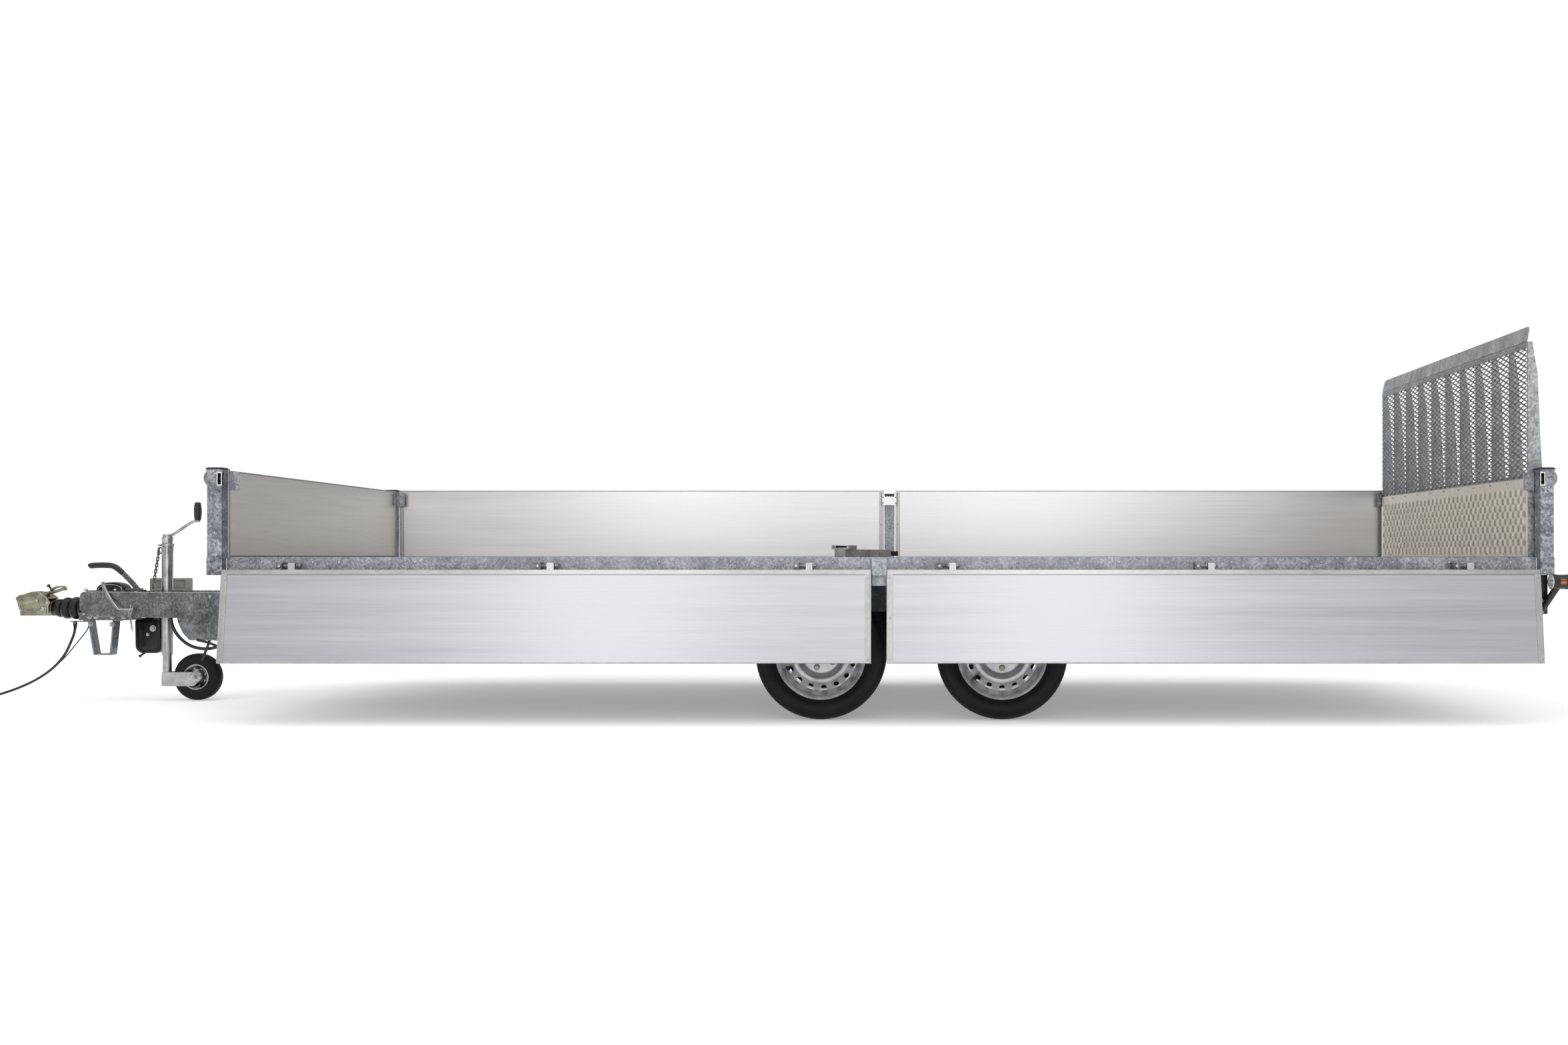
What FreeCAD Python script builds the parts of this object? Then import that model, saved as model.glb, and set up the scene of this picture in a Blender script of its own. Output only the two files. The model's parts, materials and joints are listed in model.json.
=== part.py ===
import FreeCAD, Part
import math
import os

# Drop-side flatbed trailer with two axles, an A-frame drawbar and a mesh ramp as its tailgate.
# Frame: +X to the rear, +Z up, the near side at -Y, millimetres.
# The origin is the centre of the coupling ball, and every height is taken from the deck's top.

V = FreeCAD.Vector

# ---- driving sizes -------------------------------------------------------------------------
BALL_HEIGHT = 418.0            # ball centre above the ground
DECK_HEIGHT = 650.0            # deck's top above the ground
GROUND = -BALL_HEIGHT
DECK = DECK_HEIGHT - BALL_HEIGHT

FRONT = 1276.0                 # front face of the front corner posts
REAR = 6517.0                  # rear face of the rear corner posts
HALF_WIDTH = 1000.0            # outer face of the side rails
RAIL_WIDTH = 40.0
RAIL_HEIGHT = 70.0
RAIL_WALL = 3.0
INNER = HALF_WIDTH - RAIL_WIDTH

FOOT_LENGTH = 60.0             # post foot, along the trailer
FOOT_OUT = 1034.0              # post foot's outer face
POST = 56.0                    # square corner post
POST_WALL = 3.0
POST_OUT = 1032.0
POST_TALL = 342.0
LATCH_PIN = 4.0                # radius of the pin at the top of each latch paddle

FLOOR_THICK = 18.0
REAR_RAIL = 6436.0             # rear face of the rear rail
RAMP_FACE = 6440.0             # inner face of the closed ramp
HEADBOARD_TALL = 340.0

CROSS_WIDTH = 50.0             # cross-members under the floor
CROSS_WALL = 4.0
CROSS_STATIONS = (1600.0, 2160.0, 2720.0, 3280.0, 3893.0, 4500.0, 5060.0, 5620.0, 6140.0)
CHASSIS_OUT = 640.0            # outer face of the chassis rails' webs
CHASSIS_FLANGE = 50.0
CHASSIS_TOP = DECK - RAIL_HEIGHT
CHASSIS_BOTTOM = DECK - 226.0

DROPSIDES = {"front": (1345.0, 3861.0, 1595.0), "rear": (3922.0, 6452.0, 4160.0)}
HINGE_PITCH = 1004.0           # three hinges along each dropside
HINGE_OUT = 1030.0             # hinge pin, out from the centre line
HINGE_DOWN = 34.0              # hinge pin, below the deck's top
HINGE_PIN = 6.0
STRIP_LOW = 18.0               # hinge strip's lower edge above the pin, dropside raised
PANEL_LOW = 37.0
PANEL_HIGH = 380.0
PANEL_IN = 26.0                # panel's inner face, in from the pin
PANEL_OUT = 3.0
CAP_WIDTH = 24.0
LOWERED = 173.0                # degrees from raised to hanging

STAKE_X = 3891.0               # centre stakes
STAKE_WIDTH = 52.0
STAKE_TALL = 329.0
STAKE_TONGUE = 65.0
SOCKET_WIDTH = 56.0

WHEELS = {"front": 3654.0, "rear": 4379.0}
TYRE_RADIUS = 262.0
TYRE_HALF = 97.0
WHEEL_OUT = 802.0              # middle of the tyre, out from the centre line
WHEEL_Z = GROUND + TYRE_RADIUS
RIM_FLANGE = 182.0
RIM_BARREL = 165.0
RIM_HALF = 77.0
ARM_PIVOT_AHEAD = 150.0        # trailing arm's pivot, ahead of the wheel
ARM_PIVOT_Z = DECK - 335.0
STUB_RADIUS = 18.0

TUBE_RADIUS = 25.0             # overrun draw tube
TUBE_FRONT = 110.0
TUBE_REAR = 470.0
BOOT_REAR = 250.0
BEAM_FRONT = 280.0             # drawbar beams
BEAM_REAR = 2000.0
BEAM_START = 72.0              # beam's middle at its front end, out from the centre line
BEAM_END = 562.0
BEAM_WIDTH = 46.0
BEAM_TOP = DECK - 156.0
BEAM_BOTTOM = DECK - 240.0

JOCKEY_X = 623.0
JOCKEY_TUBE = 24.0
JOCKEY_TOP = DECK + 61.0
JOCKEY_TUBE_BOTTOM = DECK - 445.0
JOCKEY_INNER = 20.0
JOCKEY_FORK_TOP = DECK - 521.0
JOCKEY_WHEEL_X = 765.0
JOCKEY_WHEEL_RADIUS = 106.0
JOCKEY_WHEEL_Z = GROUND + JOCKEY_WHEEL_RADIUS

RAMP_PIVOT_X = 6455.0
RAMP_PIVOT_Z = DECK - 15.0
RAMP_HALF = 955.0
RAMP_SHEET = 3.0
TREAD_TOP = 310.0
MESH_TOP = 850.0
RAMP_TOP = 912.0
RAMP_LEAN = 11.8               # degrees that the toe plate leans to the rear

RUN = 0.05                     # running clearance of a shaft in its bore, on the radius
GAP = 0.4                      # air between faces that slide past one another


# ---- small helpers -------------------------------------------------------------------------
def box(x0, x1, y0, y1, z0, z1):
    return Part.makeBox(x1 - x0, y1 - y0, z1 - z0, V(x0, y0, z0))


def rod(start, end, radius):
    start = V(*start)
    axis = V(*end) - start
    return Part.makeCylinder(radius, axis.Length, start, axis)


def slab(points, y0, y1):
    """An outline of (x, z) points, from y0 to y1."""
    corners = [V(x, y0, z) for x, z in points]
    face = Part.Face(Part.makePolygon(corners + [corners[0]]))
    return face.extrude(V(0, y1 - y0, 0))


def bar(points, x0, x1):
    """A section of (y, z) points, from x0 to x1."""
    corners = [V(x0, y, z) for y, z in points]
    face = Part.Face(Part.makePolygon(corners + [corners[0]]))
    return face.extrude(V(x1 - x0, 0, 0))


def turned_ring(points, centre_y=0.0, spin=1.0):
    """A ring about the Y axis: (radius, y) points of its section; spin -1 mirrors it in y."""
    corners = [V(r, centre_y + spin * y, 0) for r, y in points]
    face = Part.Face(Part.makePolygon(corners + [corners[0]]))
    return face.revolve(V(0, 0, 0), V(0, 1, 0), 360)


def channel(x0, x1, y_web, y_tip, z0, z1, wall):
    """A C-section along X with its web at y_web and its flanges running to y_tip."""
    side = 1 if y_tip > y_web else -1
    outer = box(x0, x1, min(y_web, y_tip), max(y_web, y_tip), z0, z1)
    near, far = y_web + side * wall, y_tip + side
    return outer.cut(box(x0 - 1, x1 + 1, min(near, far), max(near, far), z0 + wall, z1 - wall))


def joined(*shapes):
    whole = shapes[0]
    for shape in shapes[1:]:
        whole = whole.fuse(shape)
    return whole.removeSplitter()


def mirrored(shape):
    """The same piece on the other side of the trailer."""
    return shape.mirror(V(0, 0, 0), V(0, 1, 0))


def both_sides(shape):
    return [shape, mirrored(shape)]


def rotated(shape, centre, axis, angle):
    copy = shape.copy()
    copy.rotate(V(*centre), V(*axis), angle)
    return copy


def moved(shape, x, y, z):
    copy = shape.copy()
    copy.translate(V(x, y, z))
    return copy


def save(name, solids):
    """One STEP file for one node; a list makes a group of separate solids."""
    pieces = []
    for shape in solids if isinstance(solids, list) else [solids]:
        pieces.extend(shape.Solids)
    whole = pieces[0] if len(pieces) == 1 else Part.makeCompound(pieces)
    if not whole.isValid():
        print("NOT VALID", name)
    whole.exportStep("parts/%s.step" % name)
    print("%-26s %2d solids %9.1f cm3" % (name, len(pieces), sum(p.Volume for p in pieces) / 1000))


# ---- deck and frame ------------------------------------------------------------------------
def deck_floor():
    return box(FRONT + 48, REAR_RAIL - RAIL_WIDTH, -INNER, INNER, DECK - FLOOR_THICK, DECK)


def side_rail():
    x0, x1 = FRONT + FOOT_LENGTH, REAR - 54
    outer = box(x0, x1, -HALF_WIDTH, -INNER, DECK - RAIL_HEIGHT, DECK)
    hollow = box(x0 - 1, x1 + 1, -HALF_WIDTH + RAIL_WALL, -INNER - RAIL_WALL,
                 DECK - RAIL_HEIGHT + RAIL_WALL, DECK - RAIL_WALL)
    return outer.cut(hollow)


def end_rail(x0):
    outer = box(x0, x0 + RAIL_WIDTH, -INNER, INNER, DECK - RAIL_HEIGHT, DECK)
    hollow = box(x0 + RAIL_WALL, x0 + RAIL_WIDTH - RAIL_WALL, -INNER - 1, INNER + 1,
                 DECK - RAIL_HEIGHT + RAIL_WALL, DECK - RAIL_WALL)
    return outer.cut(hollow)


def ramp_hinge_brackets():
    """Knuckles with pins on the rear rail's back face, beside each knuckle of the ramp."""
    pieces = []
    for y in (-830.0, -330.0, 270.0, 770.0):
        lug = box(REAR_RAIL, RAMP_PIVOT_X, y, y + 28, RAMP_PIVOT_Z - 10.5, RAMP_PIVOT_Z + 10.5)
        eye = rod((RAMP_PIVOT_X, y, RAMP_PIVOT_Z), (RAMP_PIVOT_X, y + 28, RAMP_PIVOT_Z), 10.5)
        pin = rod((RAMP_PIVOT_X, y, RAMP_PIVOT_Z), (RAMP_PIVOT_X, y + 90, RAMP_PIVOT_Z), 6.0)
        pieces.append(joined(lug, eye, pin))
    return pieces


def cross_member(x):
    outer = box(x - CROSS_WIDTH / 2, x + CROSS_WIDTH / 2, -INNER, INNER,
                CHASSIS_TOP, DECK - FLOOR_THICK)
    hollow = box(x - CROSS_WIDTH / 2 + CROSS_WALL, x + CROSS_WIDTH, -INNER - 1, INNER + 1,
                 CHASSIS_TOP + CROSS_WALL, DECK - FLOOR_THICK - CROSS_WALL)
    return outer.cut(hollow)


def chassis_rail():
    """Main rail under the cross-members, with a row of lightening holes in its web."""
    x0, x1 = FRONT + 64, REAR_RAIL - 56
    rail = channel(x0, x1, -CHASSIS_OUT, -CHASSIS_OUT + CHASSIS_FLANGE,
                   CHASSIS_BOTTOM, CHASSIS_TOP, CROSS_WALL)
    middle = (CHASSIS_TOP + CHASSIS_BOTTOM) / 2
    for step in range(12):
        x = x0 + 220 + step * 420
        rail = rail.cut(rod((x, -CHASSIS_OUT - 1, middle), (x, -CHASSIS_OUT + 9, middle), 26))
    return rail


def corner_post(front):
    """Foot and post of the near side: the slot for the latch hook faces the dropside."""
    x0 = FRONT if front else REAR - 54
    x1 = FRONT + FOOT_LENGTH if front else REAR
    foot = box(x0, x1, -FOOT_OUT, -INNER, DECK - RAIL_HEIGHT, DECK)
    foot = foot.cut(box(x0 + 4, x1 - 4, -FOOT_OUT + 4, -INNER - 4, DECK - RAIL_HEIGHT - 1, DECK - 4))
    p0 = FRONT + 2 if front else REAR - 54
    p1 = p0 + POST - (0 if front else 4)
    y0, y1 = -POST_OUT, -POST_OUT + POST
    post = box(p0, p1, y0, y1, DECK, DECK + POST_TALL)
    post = post.cut(box(p0 + POST_WALL, p1 - POST_WALL, y0 + POST_WALL, y1 - POST_WALL,
                        DECK - 1, DECK + POST_TALL - POST_WALL))
    slot0, slot1 = (p1 - 16, p1 + 1) if front else (p0 - 1, p0 + 16)
    post = post.cut(box(slot0, slot1, y0 - 1, y0 + 22, DECK + 281, DECK + 329))
    wall0, wall1 = (p0 - 1, p0 + 4) if front else (p1 - 4, p1 + 1)
    post = post.cut(box(wall0, wall1, y0 + 14, y0 + 40, DECK + 283, DECK + 333))
    return [foot, post]


def post_latch(front):
    """Paddle on the post's end face and, through a window, the hook that holds the dropside."""
    face = FRONT + 2 if front else REAR - 2
    out = -1 if front else 1
    top, low = DECK + 338, DECK + 278
    inner = face + out * GAP
    arc = Part.Arc(V(inner, 0, top), V(inner + out * 18, 0, (top + low) / 2), V(inner, 0, low))
    edge = Part.LineSegment(V(inner, 0, low), V(inner, 0, top))
    wire = Part.Wire([arc.toShape(), edge.toShape()])
    paddle = moved(Part.Face(wire).extrude(V(0, 34, 0)), 0, -POST_OUT + 10, 0)
    pivot = inner + out * LATCH_PIN
    hinge = rod((pivot, -POST_OUT + 10, top), (pivot, -POST_OUT + 44, top), LATCH_PIN)
    reach = face - out * 48
    hook = box(min(inner, reach), max(inner, reach), -POST_OUT + 16, -POST_OUT + 22,
               top - 38, top - 22)
    return joined(paddle, hinge, hook)


def stake_socket():
    """Open-topped pocket on the side rail, with a gusset below it."""
    x0, x1 = STAKE_X - SOCKET_WIDTH / 2, STAKE_X + SOCKET_WIDTH / 2
    pocket = box(x0, x1, -FOOT_OUT, -HALF_WIDTH, DECK - 71, DECK)
    pocket = pocket.cut(box(STAKE_X - 20.5, STAKE_X + 20.5, -FOOT_OUT + 7.5, -FOOT_OUT + 26.5,
                            DECK - 67, DECK + 1))
    gusset = box(x0, x1, -HALF_WIDTH + 2, -HALF_WIDTH + 8, DECK - 112, DECK - RAIL_HEIGHT)
    shelf = box(x0, x1, -HALF_WIDTH + 8, -930, DECK - 112, DECK - 106)
    return [pocket, joined(gusset, shelf)]


def stake():
    """Centre stake of the near side, upright: hollow post, tongue and U-shaped latch head."""
    y0, y1 = -FOOT_OUT + 2, -HALF_WIDTH - 1
    x0, x1 = STAKE_X - STAKE_WIDTH / 2, STAKE_X + STAKE_WIDTH / 2
    body = box(x0, x1, y0, y1, DECK + GAP, DECK + STAKE_TALL)
    tongue = box(STAKE_X - 20, STAKE_X + 20, y0 + 6, y1 - 7, DECK - STAKE_TONGUE, DECK + GAP)
    low = DECK + STAKE_TALL - 60
    body = body.cut(box(x0 + 3, x1 - 3, y0 + 3, y1 - 3, DECK + 60, low - 8))
    head = box(x0 - 15, x1 + 15, y1, y1 + 6, low, DECK + STAKE_TALL)
    whole = joined(body, tongue, head)
    for side in (-1, 1):
        inner = STAKE_X + side * (STAKE_WIDTH / 2 + 11)
        outer = STAKE_X + side * (STAKE_WIDTH / 2 + 15)
        lip = box(min(inner, outer), max(inner, outer), y1 + 6, y1 + 16, low, DECK + STAKE_TALL)
        whole = joined(whole, lip)
    for tooth in range(4):
        x = x0 + 4 + tooth * 13
        whole = joined(whole, box(x, x + 7, y1 + 6, y1 + 14, DECK + STAKE_TALL - 14,
                                  DECK + STAKE_TALL - 4))
    return whole


def lying_stake():
    """The near stake, lifted out and laid on the deck with its latch head up."""
    flat = rotated(stake(), (STAKE_X, -FOOT_OUT + 2, DECK), (1, 0, 0), 90)
    flat = rotated(flat, (STAKE_X, 0, DECK), (0, 0, 1), -32)
    extent = flat.BoundBox
    return moved(flat, STAKE_X - 65 - extent.Center.x, -710 - extent.Center.y, DECK - extent.ZMin)


def headboard():
    """Hollow extrusion between the front posts, with an open edge trim at each end."""
    x0, x1 = FRONT + 33, FRONT + 58
    half = POST_OUT - POST - 2
    panel = box(x0, x1, -half, half, DECK, DECK + HEADBOARD_TALL)
    rooms = 4
    height = (HEADBOARD_TALL - 2 * (rooms + 1)) / rooms
    for room in range(rooms):
        low = DECK + 2 + room * (height + 2)
        panel = panel.cut(box(x0 + 2, x1 - 2, -half - 1, half + 1, low, low + height))
    return panel


# ---- dropsides -----------------------------------------------------------------------------
def pin_point():
    return (0, -HINGE_OUT, DECK - HINGE_DOWN)


def hinge_stations(which):
    first = DROPSIDES[which][2]
    return [first + step * HINGE_PITCH for step in range(3)]


def hinge_bracket(x):
    """Block on the side rail with the hinge rod, over which the dropside's knuckle slides."""
    y, z = -HINGE_OUT, DECK - HINGE_DOWN
    block = box(x - 45, x - 22, y - 11, -HALF_WIDTH, z - 12, z + 12)
    pin = rod((x - 45, y, z), (x + 42, y, z), HINGE_PIN)
    boss = rod((x - 34, y - 15, z), (x - 34, y - 11, z), 8)
    return joined(block, pin, boss)


def dropside(which):
    """The near side's dropside, raised: hollow panel, hinge strip, end caps, three knuckles."""
    x0, x1, _ = DROPSIDES[which]
    y, z = -HINGE_OUT, DECK - HINGE_DOWN
    out, inn = y + PANEL_OUT, y + PANEL_IN
    skin = box(x0 + 4, x1 - 4, out, inn, z + PANEL_LOW, z + PANEL_HIGH - 2)
    rooms = 5
    height = (PANEL_HIGH - 2 - PANEL_LOW - 2 * (rooms + 1)) / rooms
    for room in range(rooms):
        low = z + PANEL_LOW + 2 + room * (height + 2)
        skin = skin.cut(box(x0, x1, out + 2, inn - 2, low, low + height))
    strip = box(x0 + 4, x1 - 4, out - 1, inn + 1, z + STRIP_LOW, z + PANEL_LOW)
    pieces = [joined(skin, strip)]
    for start in (x0, x1 - CAP_WIDTH):
        cap = box(start, start + CAP_WIDTH, out - 2, inn + 2, z + PANEL_LOW, z + PANEL_HIGH)
        room = box(x0 + 4, x1 - 4, out, inn, z + PANEL_LOW - 1, z + PANEL_HIGH - 2)
        pieces.append(cap.cut(room))
    for x in hinge_stations(which):
        knuckle = box(x + 4, x + 30, y - 10, y + 18, z - 10, z + STRIP_LOW)
        bore = rod((x + 3, y, z), (x + 31, y, z), HINGE_PIN + RUN)
        pieces.append(knuckle.cut(bore))
    return Part.makeCompound(pieces)


# ---- ramp ----------------------------------------------------------------------------------
def ramp_rib(y0, y1):
    """Tapered rib, deep at the hinge and shallow at the top."""
    back = RAMP_FACE + RAMP_SHEET
    outline = [(back, DECK + 8), (back + 35, DECK + 8), (back + 72, DECK + 50),
               (back + 37, DECK + MESH_TOP - 120), (back + 19, DECK + MESH_TOP),
               (back, DECK + MESH_TOP)]
    return slab(outline, y0, y1)


def ramp_frame():
    """Welded frame: eleven tapered ribs, a bottom rail with hinge knuckles and a top rail."""
    back = RAMP_FACE + RAMP_SHEET
    parts = [box(back, back + 35, -RAMP_HALF, RAMP_HALF, DECK - 3, DECK + 8),
             box(back, back + 19, -RAMP_HALF, RAMP_HALF, DECK + MESH_TOP - 22, DECK + MESH_TOP),
             box(back, back + 30, -RAMP_HALF, RAMP_HALF, DECK + TREAD_TOP - 15, DECK + TREAD_TOP + 15)]
    pitch = (2 * RAMP_HALF - 5) / 10
    for step in range(11):
        y = -RAMP_HALF + step * pitch
        parts.append(ramp_rib(y, y + 5))
    for y in (-830.0, -330.0, 270.0, 770.0):
        eye = rod((RAMP_PIVOT_X, y + 30, RAMP_PIVOT_Z), (RAMP_PIVOT_X, y + 86, RAMP_PIVOT_Z), 11.5)
        lug = box(RAMP_PIVOT_X - 11.5, RAMP_PIVOT_X + 11.5, y + 30, y + 86, RAMP_PIVOT_Z, DECK - 3)
        bore = rod((RAMP_PIVOT_X, y + 29, RAMP_PIVOT_Z), (RAMP_PIVOT_X, y + 87, RAMP_PIVOT_Z), 6.0 + RUN)
        parts.append(joined(eye, lug).cut(bore))
    return joined(*parts)


def ramp_tread_plate():
    return box(RAMP_FACE, RAMP_FACE + RAMP_SHEET, -RAMP_HALF, RAMP_HALF, DECK + 2, DECK + TREAD_TOP)


def ramp_mesh():
    """Outer size of the expanded-metal sheet."""
    return box(RAMP_FACE, RAMP_FACE + RAMP_SHEET, -RAMP_HALF, RAMP_HALF,
               DECK + TREAD_TOP, DECK + MESH_TOP)


def ramp_toe_plate():
    """Lip along the ramp's top, leaning to the rear, with rounded upper corners."""
    tall, half, round_off = RAMP_TOP - MESH_TOP, RAMP_HALF - 3, 22.0
    diagonal = round_off * (1 - math.sqrt(0.5))
    edges = []
    for side in (-1, 1):
        low, bend = V(0, side * half, 0), V(0, side * half, tall - round_off)
        middle = V(0, side * (half - diagonal), tall - diagonal)
        end = V(0, side * (half - round_off), tall)
        edges.append(Part.LineSegment(low, bend).toShape())
        edges.append(Part.Arc(bend, middle, end).toShape())
    edges.append(Part.LineSegment(V(0, -half, 0), V(0, half, 0)).toShape())
    edges.append(Part.LineSegment(V(0, round_off - half, tall), V(0, half - round_off, tall)).toShape())
    face = Part.Face(Part.Wire(Part.__sortEdges__(edges)))
    plate = face.extrude(V(-RAMP_SHEET, 0, 0))
    plate = rotated(plate, (0, 0, 0), (0, 1, 0), RAMP_LEAN)
    return moved(plate, RAMP_FACE + RAMP_SHEET, 0, DECK + MESH_TOP)


# ---- axles and wheels ----------------------------------------------------------------------
def hexagon_tube(x, z, across, y0, y1, hole):
    radius = across / math.sqrt(3)
    points = []
    for corner in range(6):
        angle = math.radians(60 * corner)
        points.append((x + radius * math.cos(angle), z + radius * math.sin(angle)))
    tube = slab(points, y0, y1)
    return tube.cut(rod((x, y0 - 1, z), (x, y1 + 1, z), hole))


def axle(which):
    """Hexagonal axle tube for the rubber springs, with a bracket to each chassis rail."""
    x = WHEELS[which] - ARM_PIVOT_AHEAD
    tube = hexagon_tube(x, ARM_PIVOT_Z, 70, -CHASSIS_OUT, CHASSIS_OUT, 28)
    bracket = box(x - 85, x + 85, -CHASSIS_OUT + 6, -CHASSIS_OUT + 40,
                  ARM_PIVOT_Z + 35, CHASSIS_BOTTOM)
    bracket = bracket.cut(box(x - 70, x + 70, -CHASSIS_OUT + 12, -CHASSIS_OUT + 41,
                              ARM_PIVOT_Z + 41, CHASSIS_BOTTOM - 6))
    return [tube] + both_sides(bracket)


def torsion_arm(which):
    """Trailing arm with its stub axle and the inner bar that the rubber grips."""
    wheel = WHEELS[which]
    x, z = wheel - ARM_PIVOT_AHEAD, ARM_PIVOT_Z
    y0, y1 = -CHASSIS_OUT - 28, -CHASSIS_OUT - GAP
    boss = rod((x, y0, z), (x, y1, z), 36)
    end = rod((wheel, y0, WHEEL_Z), (wheel, y1, WHEEL_Z), 30)
    along = V(wheel - x, 0, WHEEL_Z - z)
    across = V(-along.z, 0, along.x)
    across.normalize()
    corners = [V(x, 0, z) + across * 34, V(wheel, 0, WHEEL_Z) + across * 28,
               V(wheel, 0, WHEEL_Z) - across * 28, V(x, 0, z) - across * 34]
    web = slab([(c.x, c.z) for c in corners], y0, y1)
    stub = rod((wheel, -WHEEL_OUT - 10, WHEEL_Z), (wheel, y0, WHEEL_Z), STUB_RADIUS)
    inner_bar = rod((x, y1, z), (x, -CHASSIS_OUT + 200, z), 20)
    return joined(boss, end, web, stub, inner_bar)


def tyre():
    """195/50 R13 tyre about the Y axis, outer side at -Y, with its air space open to the rim."""
    bead, shoulder = RIM_BARREL + 0.3, TYRE_RADIUS - 12
    outside = [(bead, -71.7), (RIM_FLANGE + 0.6, -72.7), (RIM_FLANGE + 3, -80), (205, -93), (225, -TYRE_HALF),
               (245, -91), (shoulder, -86), (TYRE_RADIUS - 3, -72), (TYRE_RADIUS, -50)]
    inside = [(bead, -52), (200, -78), (228, -82), (245, -70), (TYRE_RADIUS - 13, -40)]
    section = outside + [(r, -y) for r, y in reversed(outside)]
    section += inside_mirror(inside)
    return turned_ring(section)


def inside_mirror(inside):
    """The inner line of a section, from its +Y bead over the crown to its -Y bead."""
    return [(r, -y) for r, y in inside] + [(r, y) for r, y in reversed(inside)]


def rim():
    """Steel rim about the Y axis, outer side at -Y: barrel, disc with oval vents, hub, bolts."""
    barrel = turned_ring([(RIM_BARREL - 5, -RIM_HALF), (RIM_FLANGE, -RIM_HALF),
                          (RIM_FLANGE, -RIM_HALF + 4), (RIM_BARREL, -RIM_HALF + 5),
                          (RIM_BARREL, RIM_HALF - 5), (RIM_FLANGE, RIM_HALF - 4),
                          (RIM_FLANGE, RIM_HALF), (RIM_BARREL - 5, RIM_HALF)])
    disc = turned_ring([(30, -40), (78, -40), (96, -54), (122, -54), (146, -34), (RIM_BARREL - 5, -28),
                        (RIM_BARREL - 5, -24), (143, -30), (120, -50), (98, -50), (80, -36),
                        (30, -36)])
    for step in range(16):
        hole = rod((133, -80, 0), (133, 0, 0), 9)
        disc = disc.cut(rotated(hole, (0, 0, 0), (0, 1, 0), step * 22.5))
    bolts = []
    for step in range(5):
        angle = math.radians(90 + 72 * step)
        x, z = 56 * math.cos(angle), 56 * math.sin(angle)
        bolts.append(rod((x, -54, z), (x, -40, z), 9.5))
    hub = rod((0, -36, 0), (0, 70, 0), 44)
    nose = rod((0, -62, 0), (0, -36, 0), 29.5)
    hub = joined(hub, nose).cut(rod((0, -12 - GAP, 0), (0, 71, 0), STUB_RADIUS + RUN))
    return [barrel.fuse(disc).removeSplitter(), hub] + bolts


# ---- drawbar -------------------------------------------------------------------------------
def beam_angle():
    return math.degrees(math.atan2(BEAM_END - BEAM_START, BEAM_REAR - BEAM_FRONT))


def drawbar_beam():
    """Near beam: a box section with a rounded nose, turned outward towards the chassis rail."""
    length = math.hypot(BEAM_REAR - BEAM_FRONT, BEAM_END - BEAM_START)
    tall, half = BEAM_TOP - BEAM_BOTTOM, BEAM_WIDTH / 2
    beam = box(0, length, -half, half, 0, tall)
    nose = [edge for edge in beam.Edges
            if edge.BoundBox.XMax < 1 and edge.BoundBox.ZMin > tall - 1 and edge.Length > 10]
    beam = beam.makeFillet(24, nose)
    beam = beam.cut(box(30, length + 1, -half + 4, half - 4, 4, tall - 4))
    beam = rotated(beam, (0, 0, 0), (0, 0, 1), -beam_angle())
    return moved(beam, BEAM_FRONT, -BEAM_START, BEAM_BOTTOM)


def drawbar_stay():
    """Folded member under the near beam, from the open drawbar back to the chassis."""
    start, length, tall = 790.0, 1000.0, 125.0
    half = BEAM_WIDTH / 2
    section = [(-half, 0), (-half - 12, -46), (-half - 12, -92), (-half + 8, -tall),
               (half, -tall), (half, 0)]
    folded = bar(section, 0, length)
    slope = [(-1, -tall - 1), (55, -tall - 1), (-1, -20)]
    folded = folded.cut(slab(slope, -80, 80))
    folded = folded.cut(box(20, length + 1, -half + 5, half - 5, -tall + 5, -5))
    folded = rotated(folded, (0, 0, 0), (0, 0, 1), -beam_angle())
    out = BEAM_START + (start - BEAM_FRONT) * (BEAM_END - BEAM_START) / (BEAM_REAR - BEAM_FRONT)
    return moved(folded, start, -out, BEAM_BOTTOM)


def overrun_housing():
    """Casting that guides the draw tube, with saddles to the beams and the handbrake's pivot."""
    guide = rod((BOOT_REAR, 0, 0), (480, 0, 0), 44)
    top_plate = box(300, 480, -95, 95, BEAM_TOP, BEAM_TOP + 6)
    web = box(300, 460, -8, 8, 30, BEAM_TOP + 1)
    saddle = box(253, 474, -62, 62, -53, -19)
    flange = box(285, 440, -100, 100, -19, BEAM_BOTTOM)
    ear = box(470, 545, -74, -64, 40, BEAM_TOP + 16)
    foot = box(470, 480, -74, -8, 60, BEAM_TOP + 1)
    pin = rod((517, -70, 70), (517, -46, 70), 8)
    tongue = box(192, 254, -24, 6, -62, -58)
    tongue_root = box(253, 262, -24, 6, -62, -53)
    gland = rod((CABLE_START[0], CABLE_START[1], CABLE_START[2]),
                (CABLE_START[0], CABLE_START[1], -60), 9)
    eye = rod(BREAKAWAY_START, (BREAKAWAY_START[0], BREAKAWAY_START[1], -52), 6)
    whole = joined(guide, top_plate, web, saddle, flange, ear, foot, pin, tongue, tongue_root, gland, eye)
    return whole.cut(rod((BOOT_REAR - 1, 0, 0), (481, 0, 0), TUBE_RADIUS + RUN))


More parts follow.
